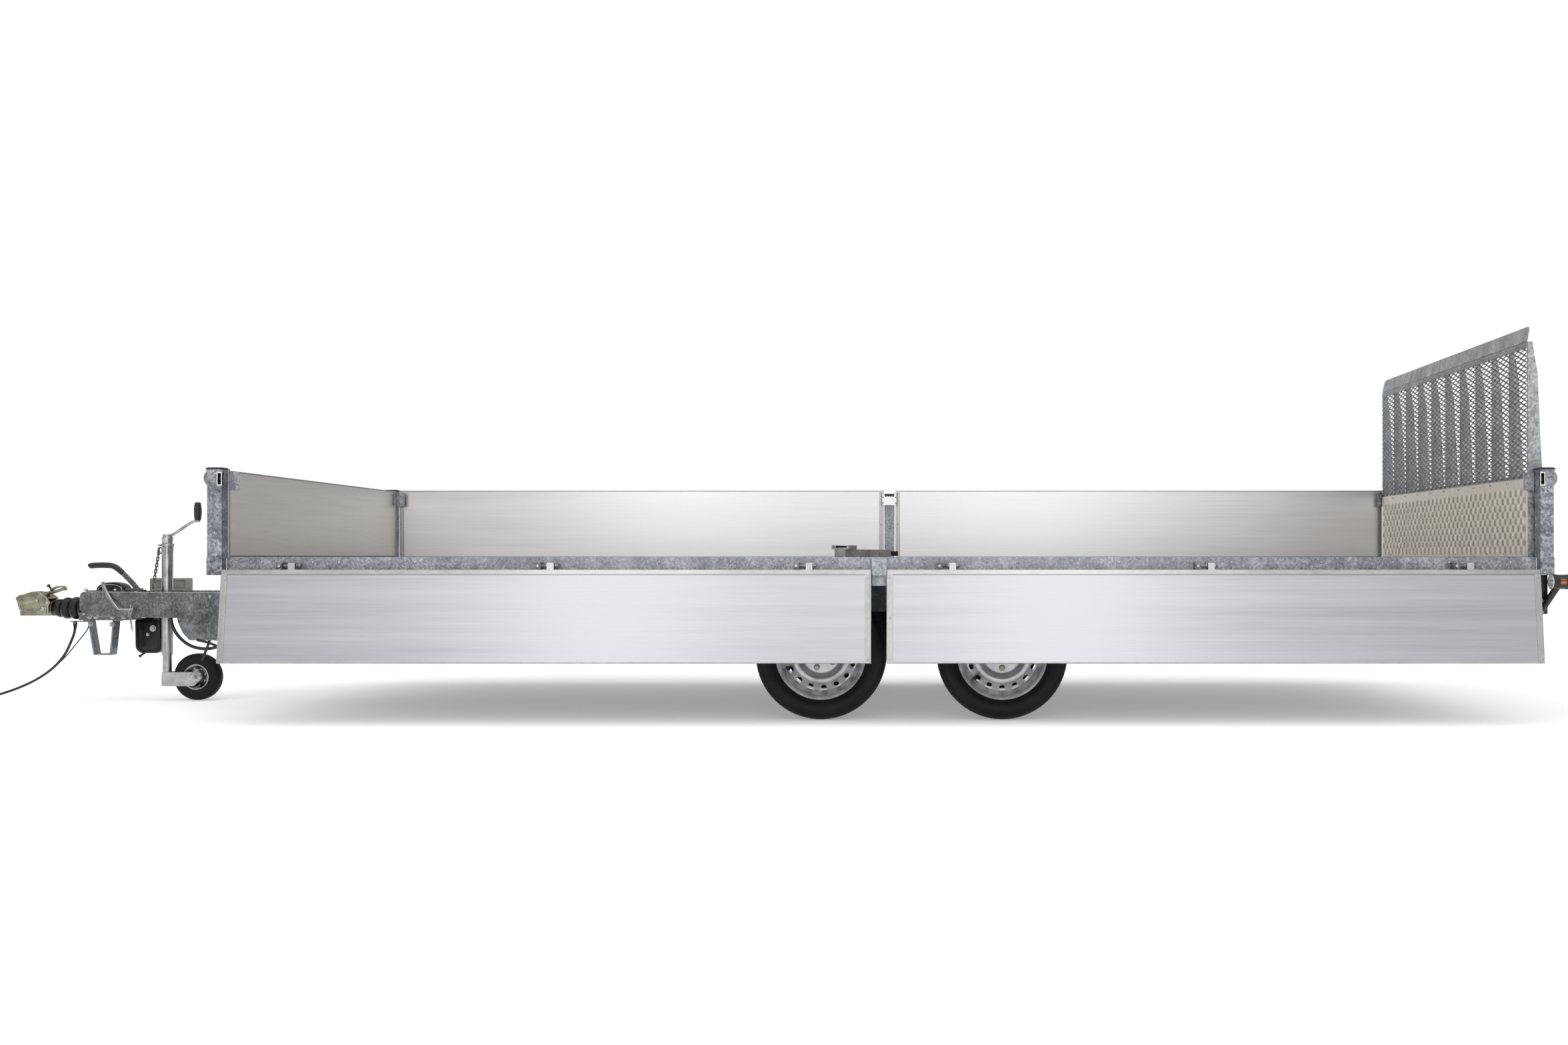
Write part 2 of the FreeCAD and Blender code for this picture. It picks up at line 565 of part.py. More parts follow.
def coupling_head():
    """Cast coupling with a cup for a 50 mm ball, and the draw tube behind it."""
    cup = rod((0, 0, -33), (0, 0, 26), 42)
    dome = rod((0, 0, 26), (0, 0, 37), 34)
    neck = box(0, 70, -30, 30, -26, 35)
    sleeve = rod((40, 0, 0), (TUBE_FRONT, 0, 0), 35)
    hinge_lug = box(40, 74, -9, 9, 30, 56)
    head = joined(cup, dome, neck, sleeve, hinge_lug)
    head = head.cut(Part.makeSphere(25.3))
    head = head.cut(rod((0, 0, -40), (0, 0, 0), 25.3))
    head = head.cut(box(38, 76, -5, 5, 37, 60))
    side_bolts = []
    for x in (62.0, 92.0):
        side_bolts.append(rod((x, -43, 0), (x, -28, 0), 8))
    pin = rod((58, -13, 48), (58, 13, 48), 4)
    tube = rod((TUBE_FRONT, 0, 0), (TUBE_REAR, 0, 0), TUBE_RADIUS)
    tube = tube.cut(rod((TUBE_FRONT + 12, 0, 0), (TUBE_REAR + 1, 0, 0), TUBE_RADIUS - 5))
    return [joined(head, pin, *side_bolts), tube]


def coupling_handle():
    """Release handle, hinged on top of the head."""
    outline = [(50, 42), (66, 40), (92, 64), (118, 72), (152, 70), (160, 78), (158, 92),
               (146, 97), (96, 92), (52, 58)]
    blade = slab(outline, -4.5, 4.5)
    grip = rod((100, -15, 84), (100, 15, 84), 7)
    end = rod((150, -15, 84), (150, 15, 84), 9)
    return joined(blade, grip, end).cut(rod((58, -6, 48), (58, 6, 48), 4 + RUN))


def drawtube_boot():
    """Rubber bellows, narrow at the head and wide at the housing."""
    folds = 7
    pitch = (BOOT_REAR - TUBE_FRONT) / folds
    points = [(TUBE_RADIUS + 2, 0)]
    for fold in range(folds):
        crest = 37 + 16.5 * (fold + 0.5) / folds
        points.append((crest - 4, fold * pitch))
        points.append((crest, fold * pitch + 0.25 * pitch))
        points.append((crest, fold * pitch + 0.7 * pitch))
    points.append((49, folds * pitch))
    points.append((TUBE_RADIUS + 2, folds * pitch))
    boot = turned_ring(points)
    boot = rotated(boot, (0, 0, 0), (0, 0, 1), -90)
    return moved(boot, TUBE_FRONT, 0, 0)


def handbrake_lever():
    """Cranked flat bar with a grip along its end."""
    outline = [(503, 64), (530, 62), (536, 80), (464, 166), (419, 203), (411, 206),
               (401, 206), (401, 180), (407, 180), (445, 148)]
    blade = slab(outline, -61, -49)
    grip = rod((297, -55, 193), (401, -55, 193), 14)
    boss = rod((517, -63, 70), (517, -49, 70), 15)
    return joined(blade, boss, grip).cut(rod((517, -64, 70), (517, -40, 70), 8 + RUN))


def jockey_clamp():
    """Split clamp round the jockey tube on a cross-plate from the near beam."""
    ring = rod((JOCKEY_X, 0, 5), (JOCKEY_X, 0, 65), 36)
    plate = box(JOCKEY_X - 30, JOCKEY_X + 30, -200, -20, 10, 60)
    plate = plate.cut(box(JOCKEY_X - 40, JOCKEY_X + 40, -300, -40, 17, 53))
    inboard = box(0, 1700, BEAM_WIDTH / 2, 400, -200, 200)
    inboard = rotated(inboard, (0, 0, 0), (0, 0, 1), -beam_angle())
    inboard = moved(inboard, BEAM_FRONT, -BEAM_START, BEAM_BOTTOM)
    screw = rod((JOCKEY_X + 20, 26, 35), (JOCKEY_X + 20, 78, 35), 7)
    handle = rod((JOCKEY_X + 20, 74, -5), (JOCKEY_X + 20, 74, 75), 5)
    whole = joined(ring, plate.common(inboard), screw, handle)
    return whole.cut(rod((JOCKEY_X, 0, -30), (JOCKEY_X, 0, 100), JOCKEY_TUBE + RUN))


def jockey_outer_tube():
    x = JOCKEY_X
    tube = rod((x, 0, JOCKEY_TUBE_BOTTOM), (x, 0, JOCKEY_TOP), JOCKEY_TUBE)
    tube = tube.cut(rod((x, 0, JOCKEY_TUBE_BOTTOM - 1), (x, 0, JOCKEY_TOP - 6), JOCKEY_INNER + RUN))
    return tube.cut(rod((x, 0, 0), (x, 0, JOCKEY_TOP + 1), 8 + RUN))


def jockey_inner_tube():
    x = JOCKEY_X
    tube = rod((x, 0, JOCKEY_FORK_TOP), (x, 0, JOCKEY_TOP - 93), JOCKEY_INNER)
    return tube.cut(rod((x, 0, JOCKEY_FORK_TOP + 12), (x, 0, JOCKEY_TOP), JOCKEY_INNER - 4))


def jockey_fork():
    """Socket, two side plates and the wheel's pin."""
    top, low = JOCKEY_FORK_TOP - GAP, JOCKEY_FORK_TOP - 64
    socket = rod((JOCKEY_X, 0, low), (JOCKEY_X, 0, top), 21)
    crown = box(JOCKEY_X - 10, JOCKEY_X + 28, -31, 31, low, top)
    arm = box(JOCKEY_X - 10, JOCKEY_WHEEL_X - 15, -36, -30, low, top)
    middle = (top + low) / 2
    tip = rod((JOCKEY_WHEEL_X - 18, -36, middle), (JOCKEY_WHEEL_X - 18, -30, middle), (top - low) / 2)
    pin = rod((JOCKEY_WHEEL_X, -41, JOCKEY_WHEEL_Z), (JOCKEY_WHEEL_X, 41, JOCKEY_WHEEL_Z), 8)
    side = joined(arm, tip)
    return joined(socket, crown, side, mirrored(side), pin)


def jockey_wheel():
    """Solid rubber tyre on a pressed steel centre, both about the pin."""
    section = [(60, -21), (80, -25), (96, -22), (104, -13), (JOCKEY_WHEEL_RADIUS, -5)]
    tread = turned_ring(section + [(r, -y) for r, y in reversed(section)])
    hub = [(8 + RUN, -26), (20, -26), (24, -9), (46, -9), (52, -20), (60, -20)]
    centre = turned_ring(hub + [(r, -y) for r, y in reversed(hub)])
    return [moved(piece, JOCKEY_WHEEL_X, 0, JOCKEY_WHEEL_Z) for piece in (tread, centre)]


def jockey_crank():
    """Spindle, cranked arm and upright grip."""
    x = JOCKEY_X
    spindle = rod((x, 0, JOCKEY_TOP - 50), (x, 0, JOCKEY_TOP + 10), 8)
    socket = rod((x, 0, JOCKEY_TOP + GAP), (x, 0, JOCKEY_TOP + 42), 20)
    arm = rod((x, 0, JOCKEY_TOP + 32), (x + 138, 0, JOCKEY_TOP + 103), 8)
    stem = rod((x + 138, 0, JOCKEY_TOP + 95), (x + 138, 0, JOCKEY_TOP + 110), 9)
    grip = rod((x + 138, 0, JOCKEY_TOP + 106), (x + 138, 0, JOCKEY_TOP + 187), 16.5)
    return joined(spindle, socket, arm, stem, grip)


def stowage_box():
    """Box with a recessed lid on top of the far beam."""
    case = box(471, 642, 147, 205, BEAM_TOP, BEAM_TOP + 57)
    return case.cut(box(482, 631, 146, 150, BEAM_TOP + 12, BEAM_TOP + 46))


def wheel_chock():
    """Black chock held by a bolt below the far beam."""
    outline = [(413, -60), (423, -47), (529, -47), (537, -60), (537, -190), (523, -213),
               (450, -213), (418, -170)]
    chock = slab(outline, 112, 168)
    hanger = box(461, 491, 124, 144, -47, BEAM_BOTTOM)
    return joined(chock, hanger)


def cable_stirrup():
    """V-shaped flat bar below the overrun housing, which keeps the cables off the road."""
    outer = [(274, -53), (300, -213), (379, -213), (395, -53)]
    inner = [(281, -52), (306, -207), (373, -207), (388, -52)]
    hoop = slab(outer, -15, 15).cut(slab(inner, -16, 16))
    return hoop


# ---- rear lamps ----------------------------------------------------------------------------
PLATE_HOLES_Y = 235.0
PLATE_HOLES_Z = (DECK - 105.0, DECK - 160.0)


def lamp_panel():
    """Folded panel under the rear rail, with four holes for a registration plate."""
    face = box(REAR_RAIL - 4, REAR_RAIL, -900, 900, DECK - 195, DECK - RAIL_HEIGHT)
    flange = box(REAR_RAIL - 36, REAR_RAIL, -900, 900, DECK - RAIL_HEIGHT - 4, DECK - RAIL_HEIGHT)
    panel = joined(face, flange)
    for y in (-PLATE_HOLES_Y, PLATE_HOLES_Y):
        for z in PLATE_HOLES_Z:
            panel = panel.cut(rod((REAR_RAIL - 9, y, z), (REAR_RAIL + 1, y, z), 3.3))
    return panel


def rear_lamps():
    """Near side: lamp cluster on the panel, and the marker lamp on its rubber arm and plate."""
    cluster = box(REAR_RAIL, REAR_RAIL + 20, -860, -700, DECK - 190, DECK - 125)
    plate = box(6463, 6502, -1004, -998, DECK - 222, DECK - RAIL_HEIGHT)
    lamp = rod((6500, -1052, DECK - 96), (6563, -1052, DECK - 96), 28)
    arm = rod((6480, -1004, DECK - 205), (6531, -1050, DECK - 100), 13)
    arm = arm.cut(lamp).cut(box(6400, 6600, -1004, -900, DECK - 300, DECK))
    arm = arm.Solids[0]
    return [cluster, plate, arm, lamp]


# ---- cords ---------------------------------------------------------------------------------
CABLE_RADIUS = 5.5
CABLE_START = (208.0, -10.0, -72.0)
CABLE_ROUTE = [CABLE_START, (208, -10, -106), (189, -9, -152), (165, -8, -206), (120, -8, -262),
               (56, -9, -312), (-24, -12, -354), (-122, -17, -390), (-200, -23, -409),
               (-262, -31, GROUND + CABLE_RADIUS)]
COIL_RADIUS = 62.0             # middle of the turns, which lie on one another
COIL_TURNS = 2.5
TAIL_LENGTH = 70.0             # from the top turn to the plug
PLUG_RADIUS = 20.0
BREAKAWAY_RADIUS = 2.5
BREAKAWAY_START = (258.0, 14.0, -66.0)
BREAKAWAY_ROUTE = [BREAKAWAY_START, (258, 14, -90), (230, 13, -128), (194, 12, -172), (156, 11, -220),
                   (108, 10, -266), (52, 9, -308), (-10, 10, -344), (-74, 13, -372), (-136, 18, -393),
                   (-200, 26, -408), (-258, 46, -414), (-304, 86, GROUND + BREAKAWAY_RADIUS),
                   (-328, 142, GROUND + BREAKAWAY_RADIUS), (-332, 196, GROUND + BREAKAWAY_RADIUS)]
LOOM_RADIUS = 7.0
LOOM_ROUTE = [(735, -205, BEAM_BOTTOM - GAP), (735, -205, BEAM_BOTTOM - 44), (766, -212, BEAM_BOTTOM - 104),
              (826, -223, BEAM_BOTTOM - 152), (900, -241, BEAM_BOTTOM - 166),
              (968, -260, BEAM_BOTTOM - 157), (1000, -270, BEAM_BOTTOM - 132)]


def cord_tube(name, route, radius):
    """Straight runs joined by tangent arcs, each arc as large as its two runs allow."""
    points = [V(*point) for point in route]
    edges, last, radii = [], points[0], []
    for before, here, after in zip(points, points[1:], points[2:]):
        shorter = min((here - before).Length, (after - here).Length)
        back, on = (before - here).normalize(), (after - here).normalize()
        turn = math.pi - back.getAngle(on)
        trim = 0.45 * shorter
        start, end = here + back * trim, here + on * trim
        arc_radius = trim / math.tan(turn / 2)
        inward = (back + on).normalize()
        middle = here + inward * (math.hypot(arc_radius, trim) - arc_radius)
        edges.append(Part.LineSegment(last, start).toShape())
        edges.append(Part.Arc(start, middle, end).toShape())
        last = end
        radii.append(round(arc_radius))
    edges.append(Part.LineSegment(last, points[-1]).toShape())
    wire = Part.Wire(edges)
    section = Part.Wire([Part.makeCircle(radius, points[0], points[1] - points[0])])
    tube = wire.makePipeShell([section], True, False)
    ideal = wire.Length * math.pi * radius ** 2
    print("%s: length %.0f mm, volume ratio %.4f, arc radii %s" % (name, wire.Length,
                                                                   tube.Volume / ideal, radii))
    return tube


def coil_frame():
    """Coil's centre and the angle at which the cable joins it, from the route's last run."""
    before, end = V(*CABLE_ROUTE[-2]), V(*CABLE_ROUTE[-1])
    heading = math.atan2(end.y - before.y, end.x - before.x)
    left = heading + math.pi / 2
    centre = end + V(math.cos(left), math.sin(left), 0) * COIL_RADIUS
    return V(centre.x, centre.y, 0), left + math.pi


def tail_points():
    """Where the top turn ends, and the tail's far end, where the plug begins."""
    centre, start = coil_frame()
    angle = start + 2 * math.pi * COIL_TURNS
    out = V(math.cos(angle), math.sin(angle), 0)
    ahead = V(-math.sin(angle), math.cos(angle), 0)
    top = GROUND + 5 * CABLE_RADIUS
    leave = centre + out * COIL_RADIUS + V(0, 0, top)
    end = leave + ahead * TAIL_LENGTH + V(0, 0, GROUND + PLUG_RADIUS - top)
    return leave, end, ahead


def lamp_cable_coil():
    """Outer shape of the turns, and the short tail that leaves the top turn for the plug."""
    centre, _ = coil_frame()
    ring = Part.makeCylinder(COIL_RADIUS + CABLE_RADIUS, 6 * CABLE_RADIUS, V(centre.x, centre.y, GROUND))
    ring = ring.cut(Part.makeCylinder(COIL_RADIUS - CABLE_RADIUS, 8 * CABLE_RADIUS,
                                      V(centre.x, centre.y, GROUND - 1)))
    leave, end, ahead = tail_points()
    tail = rod(leave, end, CABLE_RADIUS)
    return [joined(ring, tail)]


def lamp_plug():
    """Seven-pin plug with a tapered gland, lying beside the coil."""
    _, end, ahead = tail_points()
    gland = Part.makeCone(CABLE_RADIUS + 1.5, PLUG_RADIUS - 6, 24, end, ahead)
    body = Part.makeCylinder(PLUG_RADIUS, 42, end + ahead * 24, ahead)
    collar = Part.makeCylinder(PLUG_RADIUS - 3, 12, end + ahead * 66, ahead)
    return joined(gland, body, collar)


def breakaway_clip():
    """Spring hook at the breakaway cable's end, a flat link lying on the ground."""
    x, y, z = BREAKAWAY_ROUTE[-1]
    ferrule = rod((x, y, z), (x - 2, y + 16, z), BREAKAWAY_RADIUS)
    outer = box(x - 14, x + 10, y + 16, y + 70, GROUND, GROUND + 5)
    outer = outer.makeFillet(10, [e for e in outer.Edges if abs(e.Length - 5) < 0.01])
    inner = box(x - 9, x + 5, y + 21, y + 65, GROUND - 1, GROUND + 6)
    inner = inner.makeFillet(6, [e for e in inner.Edges if abs(e.Length - 7) < 0.01])
    return joined(ferrule, outer.cut(inner))


# ---- every node ----------------------------------------------------------------------------
def save_frame():
    save("deck_floor", deck_floor())
    save("edge_rails", both_sides(side_rail()) + [end_rail(FRONT + 8)])
    save("rear_rail", joined(end_rail(REAR_RAIL - RAIL_WIDTH), *ramp_hinge_brackets()))
    save("cross_members", [cross_member(x) for x in CROSS_STATIONS])
    save("chassis_rails", both_sides(chassis_rail()))
    save("corner_posts", [piece for front in (True, False) for part in corner_post(front)
                          for piece in both_sides(part)])
    save("stake_sockets", [piece for part in stake_socket() for piece in both_sides(part)])
    save("headboard", headboard())
    brackets = [hinge_bracket(x) for which in DROPSIDES for x in hinge_stations(which)]
    save("hinge_brackets", [piece for part in brackets for piece in both_sides(part)])


def save_sides():
    for which in DROPSIDES:
        raised = dropside(which)
        save("dropside_near_" + which, [rotated(raised, pin_point(), (1, 0, 0), LOWERED)])
        save("dropside_far_" + which, [mirrored(raised)])
    for which, front in (("front", True), ("rear", False)):
        latch = post_latch(front)
        save("post_latch_near_" + which, latch)
        save("post_latch_far_" + which, mirrored(latch))
    save("stake_near", lying_stake())
    save("stake_far", mirrored(stake()))


def save_ramp():
    save("ramp_frame", ramp_frame())
    save("ramp_tread_plate", ramp_tread_plate())
    save("ramp_mesh", ramp_mesh())
    save("ramp_toe_plate", ramp_toe_plate())


def save_running_gear():
    tyre_shape, rim_shapes = tyre(), rim()
    for which, x in WHEELS.items():
        arm = torsion_arm(which)
        near_rim = [moved(piece, x, -WHEEL_OUT, WHEEL_Z) for piece in rim_shapes]
        near_tyre = moved(tyre_shape, x, -WHEEL_OUT, WHEEL_Z)
        save("torsion_arm_near_" + which, arm)
        save("torsion_arm_far_" + which, mirrored(arm))
        save("tyre_near_" + which, near_tyre)
        save("tyre_far_" + which, mirrored(near_tyre))
        save("rim_near_" + which, near_rim)
        save("rim_far_" + which, [mirrored(piece) for piece in near_rim])
    save("axles", [piece for which in WHEELS for piece in axle(which)])


def save_drawbar():
    save("drawbar_beams", both_sides(drawbar_beam()))
    save("drawbar_stays", both_sides(drawbar_stay()))
    save("overrun_housing", overrun_housing())
    save("coupling_head", coupling_head())
    save("coupling_handle", coupling_handle())
    save("drawtube_boot", drawtube_boot())
    save("handbrake_lever", handbrake_lever())
    save("jockey_clamp", jockey_clamp())
    save("jockey_outer_tube", jockey_outer_tube())
    save("jockey_inner_tube", jockey_inner_tube())
    save("jockey_fork", jockey_fork())
    save("jockey_wheel", jockey_wheel())
    save("jockey_crank", jockey_crank())
    save("stowage_box", stowage_box())
    save("wheel_chock", wheel_chock())
    save("cable_stirrup", cable_stirrup())


def save_lamps_and_cords():
    save("lamp_panel", lamp_panel())
    save("rear_lamps", [piece for part in rear_lamps() for piece in both_sides(part)])
    save("cable_loom", cord_tube("cable_loom", LOOM_ROUTE, LOOM_RADIUS))
    save("lamp_cable", cord_tube("lamp_cable", CABLE_ROUTE, CABLE_RADIUS))
    save("lamp_cable_coil", lamp_cable_coil())
    save("lamp_plug", lamp_plug())
    save("breakaway_cable", cord_tube("breakaway_cable", BREAKAWAY_ROUTE, BREAKAWAY_RADIUS))
    save("breakaway_clip", breakaway_clip())


os.makedirs("parts", exist_ok=True)
save_frame()
save_sides()
save_ramp()
save_running_gear()
save_drawbar()
save_lamps_and_cords()
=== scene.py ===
import json
import math

import bmesh
import bpy
import numpy as np
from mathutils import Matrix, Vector


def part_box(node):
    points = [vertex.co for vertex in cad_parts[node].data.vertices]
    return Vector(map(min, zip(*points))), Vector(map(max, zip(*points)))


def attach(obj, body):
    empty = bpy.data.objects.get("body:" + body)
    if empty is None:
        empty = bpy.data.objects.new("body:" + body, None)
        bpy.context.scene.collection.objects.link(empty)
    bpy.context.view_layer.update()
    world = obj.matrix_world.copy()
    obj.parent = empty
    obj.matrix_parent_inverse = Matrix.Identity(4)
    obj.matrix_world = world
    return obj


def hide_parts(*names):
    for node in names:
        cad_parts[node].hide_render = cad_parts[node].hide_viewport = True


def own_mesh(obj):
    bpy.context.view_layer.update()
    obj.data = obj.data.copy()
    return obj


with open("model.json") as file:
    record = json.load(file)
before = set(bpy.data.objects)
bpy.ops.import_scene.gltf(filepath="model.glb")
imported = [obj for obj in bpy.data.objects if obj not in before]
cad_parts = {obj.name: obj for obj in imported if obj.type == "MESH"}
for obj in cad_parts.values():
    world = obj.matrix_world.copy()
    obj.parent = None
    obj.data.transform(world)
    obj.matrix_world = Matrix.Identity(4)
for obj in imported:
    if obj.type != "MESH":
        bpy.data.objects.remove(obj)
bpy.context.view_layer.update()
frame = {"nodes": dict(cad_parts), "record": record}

# Drop-side flatbed trailer. Metres: +X to the rear, +Z up, the near side at -Y, and the origin at
# the centre of the coupling ball.

NODES = frame["nodes"]

DECK = 0.232                   # rails' upper faces, above the coupling ball
GROUND = -0.418
FRONT = 1.276                  # frame's two ends
REAR = 6.517
MM = 0.001
SIDES = (-1, 1)                # near, far


# ---- materials -------------------------------------------------------------------------------
def linear(colour):
    """sRGB hex text to linear RGBA: (c / 12.92) below 0.04045, ((c + 0.055) / 1.055) ** 2.4 above."""
    c = np.array([int(colour[i:i + 2], 16) for i in (1, 3, 5)]) / 255
    return (*np.where(c <= 0.04045, c / 12.92, ((c + 0.055) / 1.055) ** 2.4).tolist(), 1.0)


def add(tree, kind, inputs=None, stops=(), **settings):
    """Adds a node, or takes one already there: settings go on the node, each input gets a value,
    another node's socket or another node's first output, and a colour ramp runs through
    (position, sRGB hex) stops."""
    made = tree.nodes.new("ShaderNode" + kind) if isinstance(kind, str) else kind
    for name, value in settings.items():
        setattr(made, name, value)
    for place, (position, colour) in enumerate(stops):
        if place >= len(made.color_ramp.elements):
            made.color_ramp.elements.new(1.0)
        made.color_ramp.elements[place].position = position
        made.color_ramp.elements[place].color = linear(colour)
    for key, value in (inputs or {}).items():
        if isinstance(value, bpy.types.Node):
            value = value.outputs[0]
        if isinstance(value, bpy.types.NodeSocket):
            tree.links.new(value, made.inputs[key])
        else:
            made.inputs[key].default_value = value
    return made


def start(name):
    """A new material's tree with its shader, its output and the piece's own coordinates."""
    made = bpy.data.materials.new(name)
    made.use_nodes = True
    tree = made.node_tree
    tree.nodes.clear()
    shader = add(tree, "BsdfPrincipled")
    add(tree, "OutputMaterial", {"Surface": shader.outputs["BSDF"]})
    place = add(tree, "TexCoord").outputs["Object"]
    return made, tree, shader, place


def per_metre(size_mm):
    """Texture scale that gives a pattern of that size."""
    return 1000.0 / size_mm


def galvanised(name, dark, middle, light, spangle_mm, rough=(0.34, 0.56), streak=(1.0, 1.0, 1.0), turn=0.0):
    """Hot-dip galvanised steel: crystals of zinc a few millimetres wide, clouded by the runs of the
    dip, so that grey patches of unlike gloss meet along crisp edges."""
    made, tree, shader, place = start(name)
    turned = add(tree, "Mapping", {"Vector": place, "Rotation": (0, turn, 0), "Scale": streak})
    crystals = add(tree, "TexVoronoi", {"Vector": place, "Scale": per_metre(spangle_mm)})
    cloud = add(tree, "TexNoise", {"Vector": turned, "Scale": per_metre(90),
                                             "Detail": 6.0, "Roughness": 0.62})
    grain = add(tree, "TexNoise", {"Vector": place, "Scale": per_metre(6), "Detail": 4.0})
    grey = add(tree, "RGBToBW", {"Color": crystals.outputs["Color"]})
    mixed = add(tree, "Mix", {"Factor": 0.34, "A": cloud.outputs["Fac"], "B": grey})
    mixed = add(tree, "Mix", {"Factor": 0.22, "A": mixed,
                                        "B": grain.outputs["Fac"]})
    value = mixed
    gloss = add(tree, "MapRange", {"Value": grey, "To Min": rough[0],
                                             "To Max": rough[1]})
    bump = add(tree, "Bump", {"Strength": 0.35, "Distance": 0.0006, "Height": value})
    add(tree, shader, {
        "Base Color": add(tree, "ValToRGB", {"Fac": value}, stops=(
            (0.33, dark), (0.5, middle), (0.68, light))).outputs["Color"],
        "Metallic": 0.92, "Roughness": gloss, "Normal": bump})
    return made


def drawn_aluminium(name, low, high, line_mm, rough, along=(0.25, 1.0, 1.0), bump_mm=0.05, metallic=1.0):
    """Anodised aluminium extrusion: a matt silvery skin with faint die lines along its length."""
    made, tree, shader, place = start(name)
    stretched = add(tree, "Mapping", {"Vector": place, "Scale": along})
    lines = add(tree, "TexNoise", {"Vector": stretched, "Scale": per_metre(line_mm),
                                             "Detail": 5.0, "Roughness": 0.7})
    wide = add(tree, "TexNoise", {"Vector": stretched, "Scale": per_metre(line_mm * 9),
                                            "Detail": 2.0})
    value = add(tree, "Mix", {"Factor": 0.4, "A": lines.outputs["Fac"],
                                        "B": wide.outputs["Fac"]})
    gloss = add(tree, "MapRange", {"Value": value, "From Min": 0.3, "From Max": 0.7,
                                             "To Min": rough - 0.05, "To Max": rough + 0.06})
    bump = add(tree, "Bump", {"Strength": 0.4, "Distance": bump_mm * MM, "Height": value})
    add(tree, shader, {
        "Base Color": add(tree, "ValToRGB", {"Fac": value}, stops=(
            (0.36, low), (0.62, high))).outputs["Color"], "Metallic": metallic,
        "Roughness": gloss, "Normal": bump})
    return made


def plated(name, low, high, rough, grain_mm=3.0, metallic=1.0):
    """Zinc-plated or cast metal: nearly even, with faint clouding and a fine skin."""
    made, tree, shader, place = start(name)
    cloud = add(tree, "TexNoise", {"Vector": place, "Scale": per_metre(40), "Detail": 5.0})
    grain = add(tree, "TexNoise", {"Vector": place, "Scale": per_metre(grain_mm), "Detail": 3.0})
    value = add(tree, "Mix", {"Factor": 0.35, "A": cloud.outputs["Fac"],
                                        "B": grain.outputs["Fac"]})
    gloss = add(tree, "MapRange", {"Value": cloud.outputs["Fac"], "To Min": rough - 0.08,
                                             "To Max": rough + 0.12})
    bump = add(tree, "Bump", {"Strength": 0.3, "Distance": 0.0003,
                                        "Height": grain.outputs["Fac"]})
    add(tree, shader, {
        "Base Color": add(tree, "ValToRGB", {"Fac": value}, stops=(
            (0.35, low), (0.65, high))).outputs["Color"], "Metallic": metallic,
        "Roughness": gloss, "Normal": bump})
    return made


def moulded(name, low, high, rough, grain_mm=1.2, bump_mm=0.12, **more):
    """Moulded rubber or plastic: an even colour, a fine tool grain and dusty patches."""
    made, tree, shader, place = start(name)
    dust = add(tree, "TexNoise", {"Vector": place, "Scale": per_metre(70), "Detail": 6.0})
    grain = add(tree, "TexVoronoi", {"Vector": place, "Scale": per_metre(grain_mm)})
    bump = add(tree, "Bump", {"Strength": 0.35, "Distance": bump_mm * MM,
                                        "Height": grain.outputs["Distance"]})
    gloss = add(tree, "MapRange", {"Value": dust.outputs["Fac"], "To Min": rough - 0.08,
                                             "To Max": rough + 0.14})
    add(tree, shader, {
        "Base Color": add(tree, "ValToRGB", {"Fac": dust.outputs["Fac"]}, stops=(
            (0.36, low), (0.66, high))).outputs["Color"],
        "Roughness": gloss, "Normal": bump, **more})
    return made


def phenolic_plywood():
    """Phenolic-faced plywood: dark brown film pressed with a wire-mesh pattern, 6 mm between wires,
    coarser than the real 3 mm so that it shows."""
    made, tree, shader, place = start("phenolic_plywood")
    heights = []
    for turn in (math.radians(45), math.radians(-45)):
        turned = add(tree, "Mapping", {"Vector": place, "Rotation": (0, 0, turn)})
        wave = add(tree, "TexWave", {"Vector": turned,
                                               "Scale": per_metre(6) / (2 * math.pi) * 0.9,
                                               "Distortion": 0.4})
        heights.append(wave.outputs["Fac"])
    mesh = add(tree, "Math", {0: heights[0], 1: heights[1]}, operation="MAXIMUM")
    wear = add(tree, "TexNoise", {"Vector": place, "Scale": per_metre(260), "Detail": 7.0,
                                            "Roughness": 0.65})
    value = add(tree, "Mix", {"Factor": 0.25, "A": wear.outputs["Fac"], "B": mesh})
    bump = add(tree, "Bump", {"Strength": 0.5, "Distance": 0.0005, "Height": mesh})
    add(tree, shader, {
        "Base Color": add(tree, "ValToRGB", {"Fac": value}, stops=(
            (0.3, "#2b1d17"), (0.6, "#4a352b"), (0.85, "#6b5446"))).outputs["Color"],
        "Roughness": 0.46, "Normal": bump})
    return made


def lens(name, colour, rough=0.12):
    """Coloured acrylic lens with moulded prisms behind a glossy face."""
    made, tree, shader, place = start(name)
    prisms = add(tree, "TexWave", {"Vector": place, "Scale": per_metre(8) / (2 * math.pi)},
                 bands_direction="Z")
    cross = add(tree, "TexWave", {"Vector": place, "Scale": per_metre(8) / (2 * math.pi)},
                bands_direction="Y")
    value = add(tree, "Math", {0: prisms.outputs["Fac"], 1: cross.outputs["Fac"]},
                operation="MULTIPLY")
    bump = add(tree, "Bump", {"Strength": 0.3, "Distance": 0.0008, "Height": value})
    shades = {"red": ("#5a0508", "#a8141a"), "amber": ("#4a1f02", "#b0600e"),
              "clear": ("#a9aaa8", "#dcdddb")}[colour]
    add(tree, shader, {
        "Base Color": add(tree, "ValToRGB", {"Fac": value}, stops=(
            (0.1, shades[0]), (0.7, shades[1]))).outputs["Color"],
        "Roughness": rough, "Normal": bump, "Coat Weight": 0.6, "Coat Roughness": 0.05})
    return made


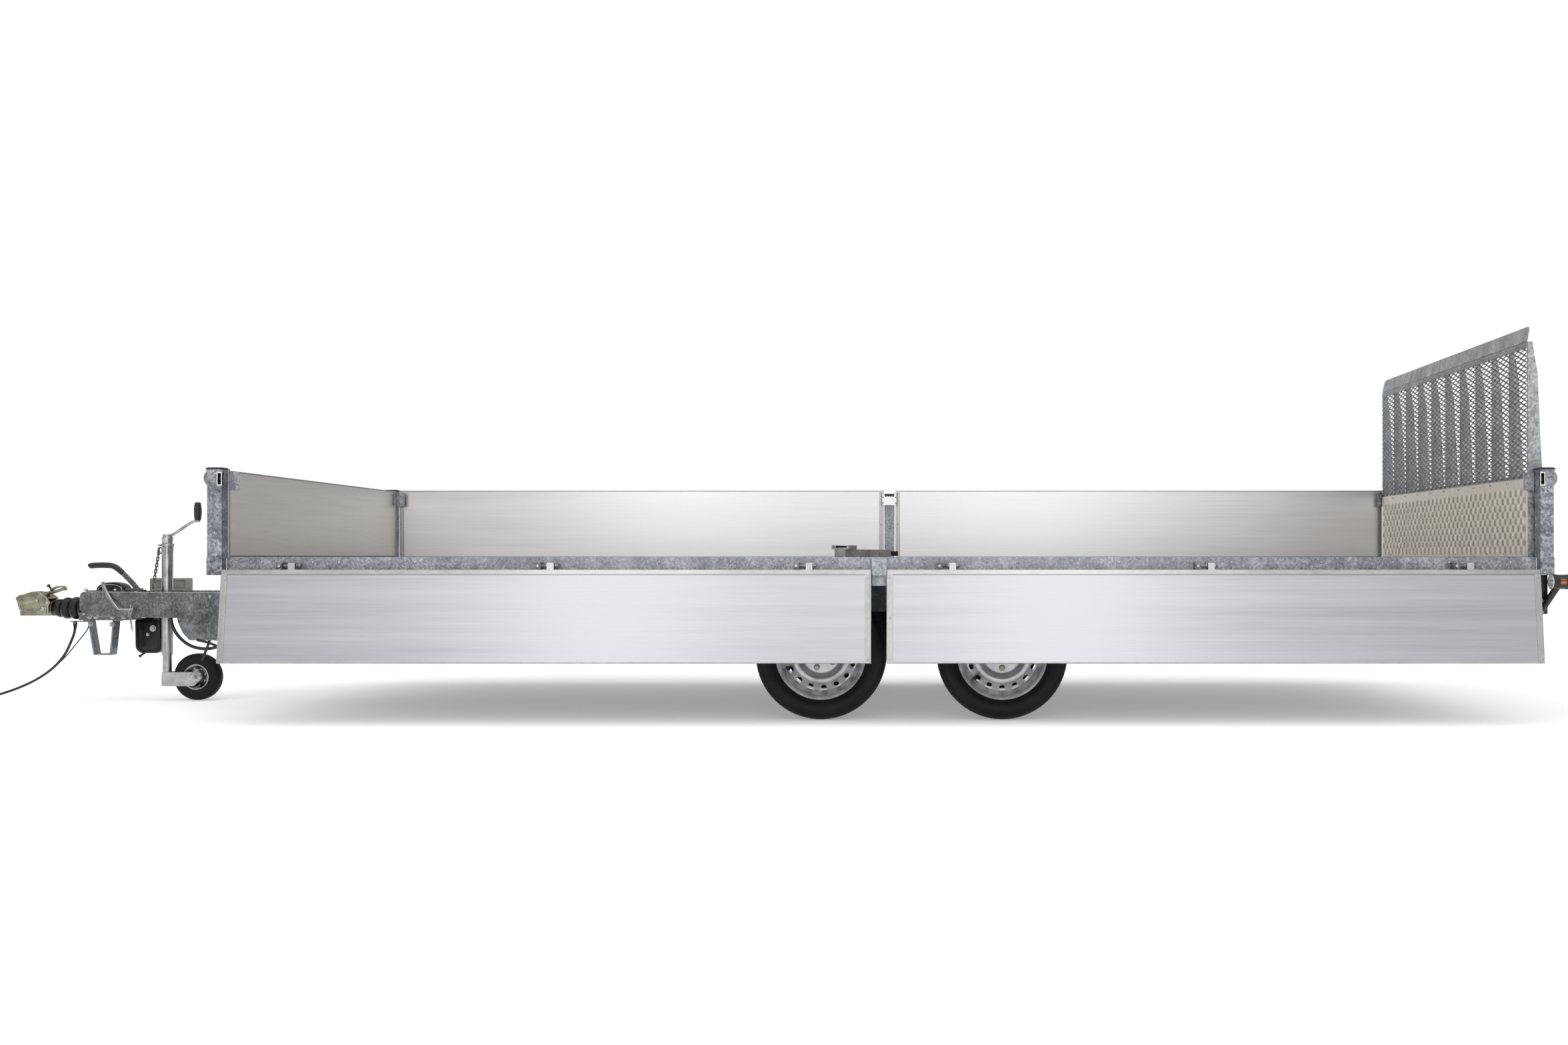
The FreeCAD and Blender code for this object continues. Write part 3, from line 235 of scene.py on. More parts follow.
# Galvanised steel: bright and spangled on the rails and the ramp, dull and dark where it has weathered on
# the drawbar, and darker still on the chassis as painted shade under the deck. Crystals are 7 to 10 mm
# wide, coarser than the real 3 to 5 mm so that they show.
FRAME_ZINC = galvanised("galvanised_frame_steel", "#6a6e75", "#8d9096", "#b9bbc0", 7)
POST_ZINC = galvanised("galvanised_post_steel", "#5d6067", "#868990", "#bdc0c5", 9,
                       streak=(0.35, 1.0, 2.6), turn=math.radians(32))
# The chassis steel is darker than the drawbar's: painted shade under the deck.
PAINTED_SHADE_CHASSIS_ZINC = galvanised("chassis_zinc_painted_shade", "#44474c", "#5f6268", "#808389", 10)
DRAWBAR_ZINC = galvanised("weathered_drawbar_zinc", "#4d4e50", "#6b6c6e", "#939496", 8)
TOE_ZINC = galvanised("galvanised_toe_plate", "#8d9093", "#b3b5b7", "#d5d6d7", 9, streak=(1.0, 1.6, 0.3))
# Anodised extrusions: a silvery sheen with faint lines along the die's way, 5 mm apart so that they show.
PANEL_ALUMINIUM = drawn_aluminium("anodised_dropside_aluminium", "#acadb2", "#babbc0", 5, 0.36,
                                  along=(0.012, 1.0, 1.0), bump_mm=0.015)
# A lighter copy of the dropside aluminium for the far panels: painted light, the brighter light that falls on
# their faces.
LIT_FAR_PANEL_ALUMINIUM = drawn_aluminium("anodised_panel_aluminium_painted_light", "#d4d4d6", "#e3e3e4", 5, 0.36,
                                  along=(0.012, 1.0, 1.0), bump_mm=0.015)
CAP_ALUMINIUM = drawn_aluminium("anodised_cap_aluminium", "#a09f9b", "#b9b8b4", 5, 0.36,
                                along=(1.0, 1.0, 0.2))
STRIP_ALUMINIUM = drawn_aluminium("anodised_strip_aluminium", "#a3a29f", "#bbbab7", 6, 0.34)
HEADBOARD_ALUMINIUM = drawn_aluminium("anodised_headboard_aluminium", "#d0cfc9", "#e2e1db", 12, 0.42,
                                      along=(1.0, 0.03, 1.0), bump_mm=0.02)
# Milled, plated and cast metals: even and bright, yellowish where the iron is passivated.
TREAD_ALUMINIUM = plated("mill_finish_tread_aluminium", "#d8d3c6", "#f6f2e6", 0.42, 5, metallic=0.8)
RAMP_ZINC = galvanised("galvanised_ramp_steel", "#7e8184", "#a1a3a5", "#c6c8c9", 9)
MESH_ZINC = plated("galvanised_expanded_steel", "#6a6c6f", "#a3a5a8", 0.4, 4)
BRIGHT_ZINC = plated("bright_zinc_plate", "#8d8f8e", "#c0c2bf", 0.22, 3)
# Also used for the bars that paint the highlight along the drawbar beams' top edges.
WELD_ZINC_AND_HIGHLIGHT = plated("zinc_over_weld_and_painted_highlight", "#d6d7d8", "#f2f2f2", 0.35, 2)
YELLOW_ZINC = plated("yellow_passivated_iron", "#6c6a59", "#a5a28f", 0.32, 3)
RIM_PAINT = plated("silver_rim_paint", "#9b9c9f", "#cbccce", 0.34, 2, metallic=0.75)
# Rubber, plastic and enamel: near black, soft in sheen, dusty in patches.
TYRE_RUBBER = moulded("tyre_rubber", "#08080a", "#131315", 0.55, 1.6, **{"Specular IOR Level": 0.22})
# Also used for the thin strips that paint the shadow in the dropsides' joints.
BOOT_RUBBER_AND_JOINT_SHADOW = moulded("bellows_rubber_and_joint_shadow", "#050505", "#0c0c0d", 0.3, 1.5, 0.06,
                      **{"Specular IOR Level": 0.35})
CABLE_SHEATH = moulded("cable_sheath", "#0b0b0c", "#161617", 0.42, 1.0, 0.05)
BLACK_PLASTIC = moulded("black_moulded_plastic", "#0a0a0a", "#171717", 0.3, 1.4, 0.06)
GREY_PLASTIC = moulded("grey_moulded_plastic", "#83847f", "#9d9d97", 0.44, 1.4)
# Also used for the thin sheet that paints the shade in the stake latch's slot.
BLACK_ENAMEL_AND_SLOT_SHADE = moulded("black_enamel_and_slot_shade", "#060608", "#0e0e11", 0.22, 2.0, 0.03, **{"Specular IOR Level": 0.4})
PLYWOOD = phenolic_plywood()
RED_LENS, AMBER_LENS, CLEAR_LENS = [lens(colour + "_lens", colour) for colour in ("red", "amber", "clear")]

FINISHES = {
    "plywood": PLYWOOD, "galvanised_frame": FRAME_ZINC, "galvanised_posts": POST_ZINC,
    "chassis_steel": PAINTED_SHADE_CHASSIS_ZINC, "drawbar_steel": DRAWBAR_ZINC,
    "dropside_aluminium": PANEL_ALUMINIUM, "headboard_aluminium": HEADBOARD_ALUMINIUM,
    "ramp_aluminium": TREAD_ALUMINIUM, "ramp_steel": MESH_ZINC, "tyre_rubber": TYRE_RUBBER,
    "rim_silver": RIM_PAINT, "cast_coupling": YELLOW_ZINC, "zinc_plated": BRIGHT_ZINC,
    "lever_black": BLACK_ENAMEL_AND_SLOT_SHADE, "black_plastic": BLACK_PLASTIC, "grey_plastic": GREY_PLASTIC,
    "boot_rubber": BOOT_RUBBER_AND_JOINT_SHADOW, "lamp_housing": BLACK_PLASTIC, "cable_sheath": CABLE_SHEATH,
}


def finish_nodes():
    """Each CAD node gets the finish of its slot, apart from a few with one of their own."""
    # The far dropsides take the lighter aluminium copy, painted light on their faces.
    own = {"ramp_frame": RAMP_ZINC, "ramp_toe_plate": TOE_ZINC, "jockey_clamp": BRIGHT_ZINC,
           "stake_near": TOE_ZINC, "dropside_far_front": LIT_FAR_PANEL_ALUMINIUM,
           "dropside_far_rear": LIT_FAR_PANEL_ALUMINIUM, "stake_far": FRAME_ZINC, "hinge_brackets": DRAWBAR_ZINC}
    for part in frame["record"]["subparts"]:
        node = NODES[part["node"]]
        node.data.materials[0] = own.get(part["node"], FINISHES[part["material_slot"]])


# ---- shapes: each is (points, faces) -----------------------------------------------------------
def whole_turn(count):
    """Even angles once round."""
    return np.linspace(0, 2 * math.pi, count, endpoint=False)


def grid_faces(rows, columns, around_rows=False, around_columns=False):
    """Quads between neighbours of a grid of points, joined round where asked."""
    r = np.arange(rows if around_rows else rows - 1)
    c = np.arange(columns if around_columns else columns - 1)
    r, c = np.meshgrid(r, c, indexing="ij")
    r1, c1 = (r + 1) % rows, (c + 1) % columns
    quads = np.stack([r * columns + c, r * columns + c1, r1 * columns + c1, r1 * columns + c], -1)
    return quads.reshape(-1, 4).tolist()


def surface(points, around_rows=False, around_columns=False):
    """A grid of points (rows, columns, 3) as a shape."""
    rows, columns = points.shape[:2]
    return points.reshape(-1, 3), grid_faces(rows, columns, around_rows, around_columns)


def together(shapes):
    """Several shapes as one."""
    points, faces, first = [], [], 0
    for shape_points, shape_faces in shapes:
        points.append(np.asarray(shape_points, float))
        faces.extend([[index + first for index in face] for face in shape_faces])
        first += len(shape_points)
    return np.concatenate(points), faces


def copies(shape, offsets):
    """The shape once at each offset."""
    points, faces = shape
    offsets = np.asarray(offsets, float).reshape(-1, 1, 3)
    everything = (np.asarray(points)[None] + offsets).reshape(-1, 3)
    indices = np.asarray(faces)[None] + (np.arange(len(offsets)) * len(points))[:, None, None]
    return everything, indices.reshape(-1, np.asarray(faces).shape[1]).tolist()


def two_across(axis):
    """Two unit vectors square to the axis and to each other."""
    axis = np.asarray(axis, float) / np.linalg.norm(axis)
    helper = np.array([0.0, 0.0, 1.0]) if abs(axis[2]) < 0.9 else np.array([1.0, 0.0, 0.0])
    first = np.cross(axis, helper)
    first /= np.linalg.norm(first)
    return axis, first, np.cross(axis, first)


def turned(profile, base, axis, steps=32, closed=False):
    """Surface of revolution: point = base + along * axis + radius * (cos a * u + sin a * v), for each
    (along, radius) of the profile and each angle a."""
    axis, u, v = two_across(axis)
    profile = np.asarray(profile, float)
    angle = whole_turn(steps)
    ring = np.cos(angle)[:, None] * u + np.sin(angle)[:, None] * v
    points = (np.asarray(base) + profile[:, None, :1] * axis + profile[:, None, 1:] * ring[None])
    return surface(points, around_rows=closed, around_columns=True)


def spun(profile, base, axis, steps=32):
    """The same for a profile that closes on the axis, level with its first and last points."""
    return turned([(profile[0][0], 0.0), *profile, (profile[-1][0], 0.0)], base, axis, steps)


def capped(rows):
    """Closed sections (rows, points, 3) joined along their rows, with both ends closed to a point."""
    ends = [np.repeat(rows[i].mean(0)[None], rows.shape[1], 0)[None] for i in (0, -1)]
    return surface(np.concatenate([ends[0], rows, ends[1]]), around_columns=True)


def smooth_path(points, steps=8):
    """Quadratic B-spline of the control points, from the first to the last: each span is
    (1 - t)^2 a / 2 + (1/2 + t - t^2) b + t^2 c / 2, with the end points doubled."""
    p = np.asarray(points, float)
    p = np.concatenate([2 * p[:1] - p[1:2], p, 2 * p[-1:] - p[-2:-1]])
    t = np.linspace(0, 1, steps, endpoint=False)[None, :, None]
    a, b, c = p[:-2, None], p[1:-1, None], p[2:, None]
    line = ((1 - t) ** 2 * a + (1 + 2 * t - 2 * t * t) * b + t * t * c) / 2
    end = (p[-2] + p[-1])[None] / 2
    line = np.concatenate([line.reshape(-1, 3), end])
    first, last = np.linalg.norm(line - p[1], axis=1).argmin(), np.linalg.norm(line - p[-2],
                                                                               axis=1).argmin()
    return np.concatenate([p[1:2], line[first + 1:last], p[-2:-1]])


def swept(path, section, side, scale=None):
    """A closed section of (across, up) points carried along a path: point = path + across * s + up * u,
    where s is square to the path and to the side vector, and u to both. Both ends close to a point."""
    path, section = np.asarray(path, float), np.asarray(section, float)
    tangent = np.gradient(path, axis=0)
    tangent /= np.linalg.norm(tangent, axis=1, keepdims=True)
    up = np.cross(np.asarray(side, float), tangent)
    up /= np.linalg.norm(up, axis=1, keepdims=True)
    across = np.cross(tangent, up)
    size = np.ones(len(path)) if scale is None else np.asarray(scale, float)
    size = size[:, None, None]
    points = path[:, None] + size * (section[None, :, :1] * across[:, None] + section[None, :, 1:] * up[:,
                                                                                                        None])
    return capped(points)


def circle(radius, count=12):
    """Points (radius * cos a, radius * sin a) at even angles."""
    angle = whole_turn(count)
    return np.stack([radius * np.cos(angle), radius * np.sin(angle)], 1)


def rounded(width, height, corner, per_corner=4, centre=(0, 0)):
    """Rectangle with round corners: four quarter circles one after another."""
    angle = np.linspace(0, math.pi / 2, per_corner)
    quarter = np.arange(4)[:, None] * math.pi / 2 + angle[None]
    cx = np.array([1, -1, -1, 1])[:, None] * (width / 2 - corner)
    cy = np.array([1, 1, -1, -1])[:, None] * (height / 2 - corner)
    return np.stack([cx + corner * np.cos(quarter) + centre[0],
                     cy + corner * np.sin(quarter) + centre[1]], -1).reshape(-1, 2)


def tube(path, radius, side=(0, 1, 0), sides=12):
    """A round bar along a path; the radius may be one number or one for each point."""
    return swept(path, circle(1.0, sides), side, np.broadcast_to(radius, len(path)))


def prism(outline, plane, low, high):
    """A flat outline given thickness: plane "xz" runs along y, "yz" along x and "xy" along z."""
    outline = np.asarray(outline, float)
    order = {"xz": (0, 2, 1), "yz": (1, 2, 0), "xy": (0, 1, 2)}[plane]
    layers = []
    for level in (low, high):
        layer = np.zeros((len(outline), 3))
        layer[:, order[0]], layer[:, order[1]], layer[:, order[2]] = outline[:, 0], outline[:, 1], level
        layers.append(layer)
    count = len(outline)
    sides = [[i, (i + 1) % count, count + (i + 1) % count, count + i] for i in range(count)]
    return np.concatenate(layers), sides + [list(range(count)), list(range(count, 2 * count))]


def block(x0, x1, y0, y1, z0, z1):
    """A plate or bar with its faces at these levels, given in either order."""
    return prism([(x0, z0), (x1, z0), (x1, z1), (x0, z1)], "xz", y0, y1)


def moved(shape, turn=None, about=(0, 0, 0), offset=(0, 0, 0), mirror=False):
    """The shape turned by a matrix about a point, shifted, and mirrored in y if asked."""
    points = np.asarray(shape[0], float)
    if turn is not None:
        points = (points - about) @ np.asarray(turn).T + about
    points = points + offset
    if mirror:
        points = points * (1, -1, 1)
    return points, shape[1]


def turn_matrix(axis, degrees):
    """Rotation about one of the three axes."""
    c, s = math.cos(math.radians(degrees)), math.sin(math.radians(degrees))
    return np.array({"x": [[1, 0, 0], [0, c, -s], [0, s, c]], "y": [[c, 0, s], [0, 1, 0], [-s, 0, c]],
                     "z": [[c, -s, 0], [s, c, 0], [0, 0, 1]]}[axis])


def button(centre, axis, radius, height, steps=14, hexagon=False):
    """Low domed head: its radius falls as the square root of what is left of its height."""
    rise = np.linspace(0, 1, 5)
    profile = [(-0.2 * height, 0.0), (-0.2 * height, radius)]
    if hexagon:
        profile += [(0.8 * height, radius), (height, 0.86 * radius), (height, 0.0)]
        steps = 6
    else:
        profile += [(height * t, radius * math.sqrt(max(0.0, 1 - t * t))) for t in rise]
    return turned(profile, centre, axis, steps)


def bolt(centre, axis, radius, height):
    """Hexagon head on a washer, with the thread's end standing out of it."""
    centre, axis = np.asarray(centre, float), np.asarray(axis, float)
    washer = spun([(0, radius * 1.45), (height * 0.25, radius * 1.45)], centre, axis, 20)
    head = button(centre + axis * height * 0.2, axis, radius, height, hexagon=True)
    stub = spun([(0, radius * 0.5), (height * 1.5, radius * 0.5), (height * 1.6, radius * 0.4)], centre,
                axis, 12)
    return together([washer, head, stub])


def drawn_in(outline, centre, share):
    """An outline drawn in towards a centre."""
    return np.asarray(centre) + (np.asarray(outline, float) - centre) * share


def cast_cheek(outline, low, high, crown):
    """A cast plate with a crowned face: the outline, carried along y, draws in towards its centre as
    sqrt(1 - s^2) over its last millimetres at each side."""
    outline = np.asarray(outline, float)
    centre = outline.mean(0)
    low, high = min(low, high), max(low, high)
    rows = []
    for y, share in ((low, 0.0), (low, 0.9), (low + crown * 0.3, 0.97), (low + crown, 1.0),
                     (high - crown, 1.0), (high - crown * 0.3, 0.97), (high, 0.9), (high, 0.0)):
        drawn = drawn_in(outline, centre, share)
        rows.append(np.stack([drawn[:, 0], np.full(len(drawn), y), drawn[:, 1]], 1))
    return surface(np.stack(rows), around_columns=True)


def closed_ring(path, radius, side, sides=10):
    """A round wire along a closed path."""
    path = np.asarray(path, float)
    tangent = np.roll(path, -1, 0) - np.roll(path, 1, 0)
    tangent /= np.linalg.norm(tangent, axis=1, keepdims=True)
    up = np.cross(np.asarray(side, float), tangent)
    up /= np.linalg.norm(up, axis=1, keepdims=True)
    across = np.cross(tangent, up)
    section = circle(radius, sides)
    points = path[:, None] + section[None, :, :1] * across[:, None] + section[None, :, 1:] * up[:, None]
    return surface(points, around_rows=True, around_columns=True)


def flat_frame(outer, inner, low, high):
    """A plate in the xz plane between two outlines with as many points each."""
    rows = []
    for outline, level in ((outer, low), (outer, high), (inner, high), (inner, low)):
        rows.append(np.stack([outline[:, 0], np.full(len(outline), level), outline[:, 1]], 1))
    return surface(np.stack(rows), around_rows=True, around_columns=True)


def shell_of(outer, inner):
    """A closed patch between two grids of points that face each other."""
    rows, columns = outer.shape[:2]
    around = [(0, j) for j in range(columns)] + [(i, columns - 1) for i in range(1, rows)]
    around += [(rows - 1, j) for j in range(columns - 2, -1, -1)] + [(i, 0) for i in range(rows - 2, 0, -1)]
    border = [i * columns + j for i, j in around]
    first = rows * columns
    faces = grid_faces(rows, columns) + [[first + k for k in face[::-1]] for face in grid_faces(rows,
                                                                                                columns)]
    for k, spot in enumerate(border):
        following = border[(k + 1) % len(border)]
        faces.append([following, spot, first + spot, first + following])
    return np.concatenate([outer.reshape(-1, 3), inner.reshape(-1, 3)]), faces


def chain(top, bottom, links, long, wire):
    """Stadium-shaped wire links down a line, each a quarter turn from its neighbours."""
    top, bottom = np.asarray(top, float), np.asarray(bottom, float)
    down = (bottom - top) / np.linalg.norm(bottom - top)
    _, u, v = two_across(down)
    bend = whole_turn(16)
    shapes = []
    for link in range(links):
        middle = top + (bottom - top) * (link + 0.5) / links
        across = (u + v if link % 2 else u - v) / math.sqrt(2)
        other = np.cross(down, across)
        path = middle + np.cos(bend)[:, None] * long * 0.3 * across
        path = path + (np.sign(np.sin(bend)) * np.abs(np.sin(bend)) ** 0.6)[:, None] * long * 0.6 * down
        shapes.append(closed_ring(path, wire, other, 6))
    return together(shapes)


def piece(name, shape, finish, slot, body="chassis", stands_for=(), bevel=None, smooth=35):
    """Puts a shape, or a list of them as one, into the scene as a closed mesh that rides on a body."""
    points, faces = together(shape) if isinstance(shape, list) else shape
    mesh = bpy.data.meshes.new(name)
    mesh.from_pydata(np.asarray(points, float).tolist(), [], faces)
    work = bmesh.new()
    work.from_mesh(mesh)
    bmesh.ops.remove_doubles(work, verts=work.verts, dist=1e-6)
    bmesh.ops.dissolve_degenerate(work, edges=work.edges, dist=1e-7)
    bmesh.ops.recalc_face_normals(work, faces=work.faces)
    work.to_mesh(mesh)
    work.free()
    mesh.materials.append(finish)
    made = bpy.data.objects.new(name, mesh)
    bpy.context.scene.collection.objects.link(made)
    if bevel:
        edge = made.modifiers.new("worn_edges", "BEVEL")
        edge.width, edge.segments, edge.limit_method = bevel, 2, "ANGLE"
        edge.angle_limit = math.radians(40)
        edge.use_clamp_overlap = True
    mesh.shade_smooth()
    mesh.set_sharp_from_angle(angle=math.radians(smooth))
    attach(made, body)
    if stands_for:
        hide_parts(*stands_for)
    return made


# ---- camera ------------------------------------------------------------------------------------
def place_camera():
    """A long-lens view square to the near side, at deck height."""
    made = bpy.data.cameras.new("camera")
    made.lens, made.sensor_width = 35.59, 36.0
    made.shift_x, made.shift_y = -0.0867, 0.0221
    holder = bpy.data.objects.new("camera", made)
    holder.location = (4.05, -7.06, DECK)
    holder.rotation_euler = (math.radians(90), 0, 0)
    bpy.context.scene.collection.objects.link(holder)
    bpy.context.scene.camera = holder


# ---- cords -------------------------------------------------------------------------------------
CABLE_RADIUS = 0.0055
CABLE_ROUTE = [(0.208, -0.01, -0.072), (0.208, -0.01, -0.106), (0.189, -0.009, -0.152),
               (0.165, -0.008, -0.206), (0.12, -0.008, -0.262), (0.056, -0.009, -0.312),
               (-0.024, -0.012, -0.354), (-0.122, -0.017, -0.39), (-0.2, -0.023, -0.409),
               (-0.262, -0.031, GROUND + CABLE_RADIUS)]
COIL_RADIUS = 0.062
COIL_TURNS = 2.5
POINTS_PER_TURN = 16
TAIL_LENGTH = 0.07
PLUG_HEIGHT = 0.02            # plug's axis above the ground
BREAKAWAY_RADIUS = 0.0025
BREAKAWAY_ROUTE = [(0.258, 0.014, -0.066), (0.258, 0.014, -0.09), (0.23, 0.013, -0.128),
                   (0.194, 0.012, -0.172), (0.156, 0.011, -0.22), (0.108, 0.01, -0.266),
                   (0.052, 0.009, -0.308), (-0.01, 0.01, -0.344), (-0.074, 0.013, -0.372),
                   (-0.136, 0.018, -0.393), (-0.2, 0.026, -0.408), (-0.258, 0.046, -0.414),
                   (-0.304, 0.086, GROUND + BREAKAWAY_RADIUS), (-0.328, 0.142, GROUND + BREAKAWAY_RADIUS),
                   (-0.332, 0.196, GROUND + BREAKAWAY_RADIUS)]
LOOM_RADIUS = 0.007
LOOM_ROUTE = [(0.735, -0.205, -0.0084), (0.735, -0.205, -0.052), (0.766, -0.212, -0.112),
              (0.826, -0.223, -0.16), (0.9, -0.241, -0.174), (0.968, -0.26, -0.165),
              (1.0, -0.27, -0.14)]


def cord(name, points, radius, stands_for):
    """A round cord on a smooth line with these control points."""
    data = bpy.data.curves.new(name, "CURVE")
    data.dimensions = "3D"
    data.bevel_depth, data.bevel_resolution, data.resolution_u = radius, 4, 8
    data.use_fill_caps = True
    spline = data.splines.new("NURBS")
    spline.points.add(len(points) - 1)
    spline.points.foreach_set("co", np.c_[np.asarray(points, float), np.ones(len(points))].ravel())
    spline.order_u = 3
    spline.use_endpoint_u = True
    data.materials.append(CABLE_SHEATH)
    made = bpy.data.objects.new(name, data)
    bpy.context.scene.collection.objects.link(made)
    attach(made, "chassis")
    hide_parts(*stands_for)
    return made


def coil_points():
    """The stacked turns and the tail. Each turn lies flat for its first half and climbs one
    diameter in its second, so that it always lies on the turn below. Returns the points, where
    the plug begins and the way it points."""
    before, end = np.array(CABLE_ROUTE[-2]), np.array(CABLE_ROUTE[-1])
    heading = math.atan2(end[1] - before[1], end[0] - before[0])
    left = heading + math.pi / 2
    centre = end[:2] + COIL_RADIUS * np.array([math.cos(left), math.sin(left)])
    turns = np.arange(1, COIL_TURNS * POINTS_PER_TURN + 1) / POINTS_PER_TURN
    angle = left + math.pi + 2 * math.pi * turns
    layer = np.floor(turns) + np.clip(2 * (turns % 1) - 1, 0, 1)
    height = GROUND + CABLE_RADIUS + 2 * CABLE_RADIUS * layer
    ring = np.stack([centre[0] + COIL_RADIUS * np.cos(angle), centre[1] + COIL_RADIUS * np.sin(angle),
                     height], 1)
    ahead = np.array([-math.sin(angle[-1]), math.cos(angle[-1]), 0])
    drop = np.array([0, 0, GROUND + PLUG_HEIGHT - ring[-1][2]])
    tail = [ring[-1] + ahead * TAIL_LENGTH * share + drop * fall
            for share, fall in ((0.35, 0.2), (0.7, 0.9), (1.0, 1.0))]
    return [*map(tuple, ring), *map(tuple, tail)], tail[-1], ahead


def lay_cords():
    """Electric cable with its plug, breakaway cable with its clip, and the loom under the beam."""
    turns, plug_start, ahead = coil_points()
    cable = cord("electric_cable", CABLE_ROUTE + turns, CABLE_RADIUS, ["lamp_cable", "lamp_cable_coil"])
    profile = [(0.0, 0.0), (0.0, 0.0072), (0.006, 0.0078), (0.007, 0.0066), (0.01, 0.0084),
               (0.011, 0.0072), (0.014, 0.01), (0.016, 0.0086), (0.019, 0.0128), (0.024, 0.014),
               (0.026, 0.0182), (0.029, 0.0196), (0.036, 0.02), (0.064, 0.02), (0.066, 0.017),
               (0.078, 0.017), (0.078, 0.015), (0.07, 0.0145), (0.07, 0.0)]
    shell = turned(profile, plug_start, ahead, 40)
    _, u, v = two_across(ahead)
    face = plug_start + ahead * 0.07
    pins = [spun([(0, 0.0015), (0.007, 0.0015), (0.0078, 0.0009)],
                 face + 0.0085 * (math.cos(a) * u + math.sin(a) * v), ahead,
                 10) for a in np.arange(6) * math.pi / 3]
    pins.append(spun([(0, 0.0015), (0.0078, 0.0015)], face, ahead, 10))
    plug = piece("seven_pin_plug", shell, BLACK_PLASTIC, "black_plastic", stands_for=["lamp_plug"])
    contacts = piece("plug_pins", pins, BRIGHT_ZINC, "zinc_plated")
    relief = [(0.0, 0.0), (0.0, 0.0085), (-0.004, 0.0092), (-0.012, 0.0082), (-0.022, 0.0068),
              (-0.028, 0.0062), (-0.028, 0.0)]
    piece("cable_gland", turned(relief, (0.208, -0.01, -0.066), (0, 0, 1), 24), BOOT_RUBBER_AND_JOINT_SHADOW, "boot_rubber")

    breakaway = cord("breakaway_rope", BREAKAWAY_ROUTE, BREAKAWAY_RADIUS, ["breakaway_cable"])
    x, y, z = BREAKAWAY_ROUTE[-1]
    bend = whole_turn(48)
    link = np.stack([x - 0.002 + 0.0095 * np.sign(np.cos(bend)) * np.abs(np.cos(bend)) ** 0.8,
                     y + 0.043 + 0.0245 * np.sign(np.sin(bend)) * np.abs(np.sin(bend)) ** 0.8,
                     np.full(48, GROUND + 0.0025)], 1)
    hook = closed_ring(link, 0.0024, (0, 0, 1))
    ferrule = spun([(0, 0.0028), (0.014, 0.0028), (0.017, 0.0024)], (x, y, z), (-0.1, 1, 0), 16)
    clip = piece("spring_hook", [hook, ferrule], BRIGHT_ZINC, "zinc_plated", stands_for=["breakaway_clip"])
    cord("cable_loom_under_beam", LOOM_ROUTE, LOOM_RADIUS, ["cable_loom"])


# ---- dropsides ---------------------------------------------------------------------------------
HINGE_OUT = 1.03
PIN_Z = DECK - 0.034
PANEL_LOW = 0.037              # distances up the panel from the hinge pin, dropside raised
PANEL_HIGH = 0.38
PANEL_OUT = 0.003             # panel's outer and inner faces, in from the pin
PANEL_IN = 0.026
CAP_WIDTH = 0.024
CAP_RIVETS = (0.051, 0.207, 0.366)
LOWERED = 173.0                # degrees from raised to hanging
# Each dropside's two ends and its first hinge, along x.
DROPSIDES = {"front": (1.345, 3.861, 1.595), "rear": (3.922, 6.452, 4.16)}
HINGE_PITCH = 1.004


def on_dropside(shape, side):
    """A shape made on the near side's raised dropside, put on the lowered near one or the far one."""
    if side == "near":
        return moved(shape, turn_matrix("x", LOWERED), (0, -HINGE_OUT, PIN_Z))
    return moved(shape, mirror=True)


def cap_section():
    """Outline (x, y) of the end cap: a round-cornered bar with two fine grooves down each face."""
    half, deep = CAP_WIDTH / 2 + 0.0004, (PANEL_IN - PANEL_OUT) / 2 + 0.0022
    outline = [(-half, -deep + 0.002), (-half + 0.002, -deep)]
    for groove in (-0.004, 0.004):
        outline += [(groove - 0.0008, -deep), (groove - 0.0003, -deep + 0.0009),
                    (groove + 0.0003, -deep + 0.0009), (groove + 0.0008, -deep)]
    outline += [(half - 0.002, -deep), (half, -deep + 0.002)]
    lower = np.array(outline)
    return np.concatenate([lower, -lower])


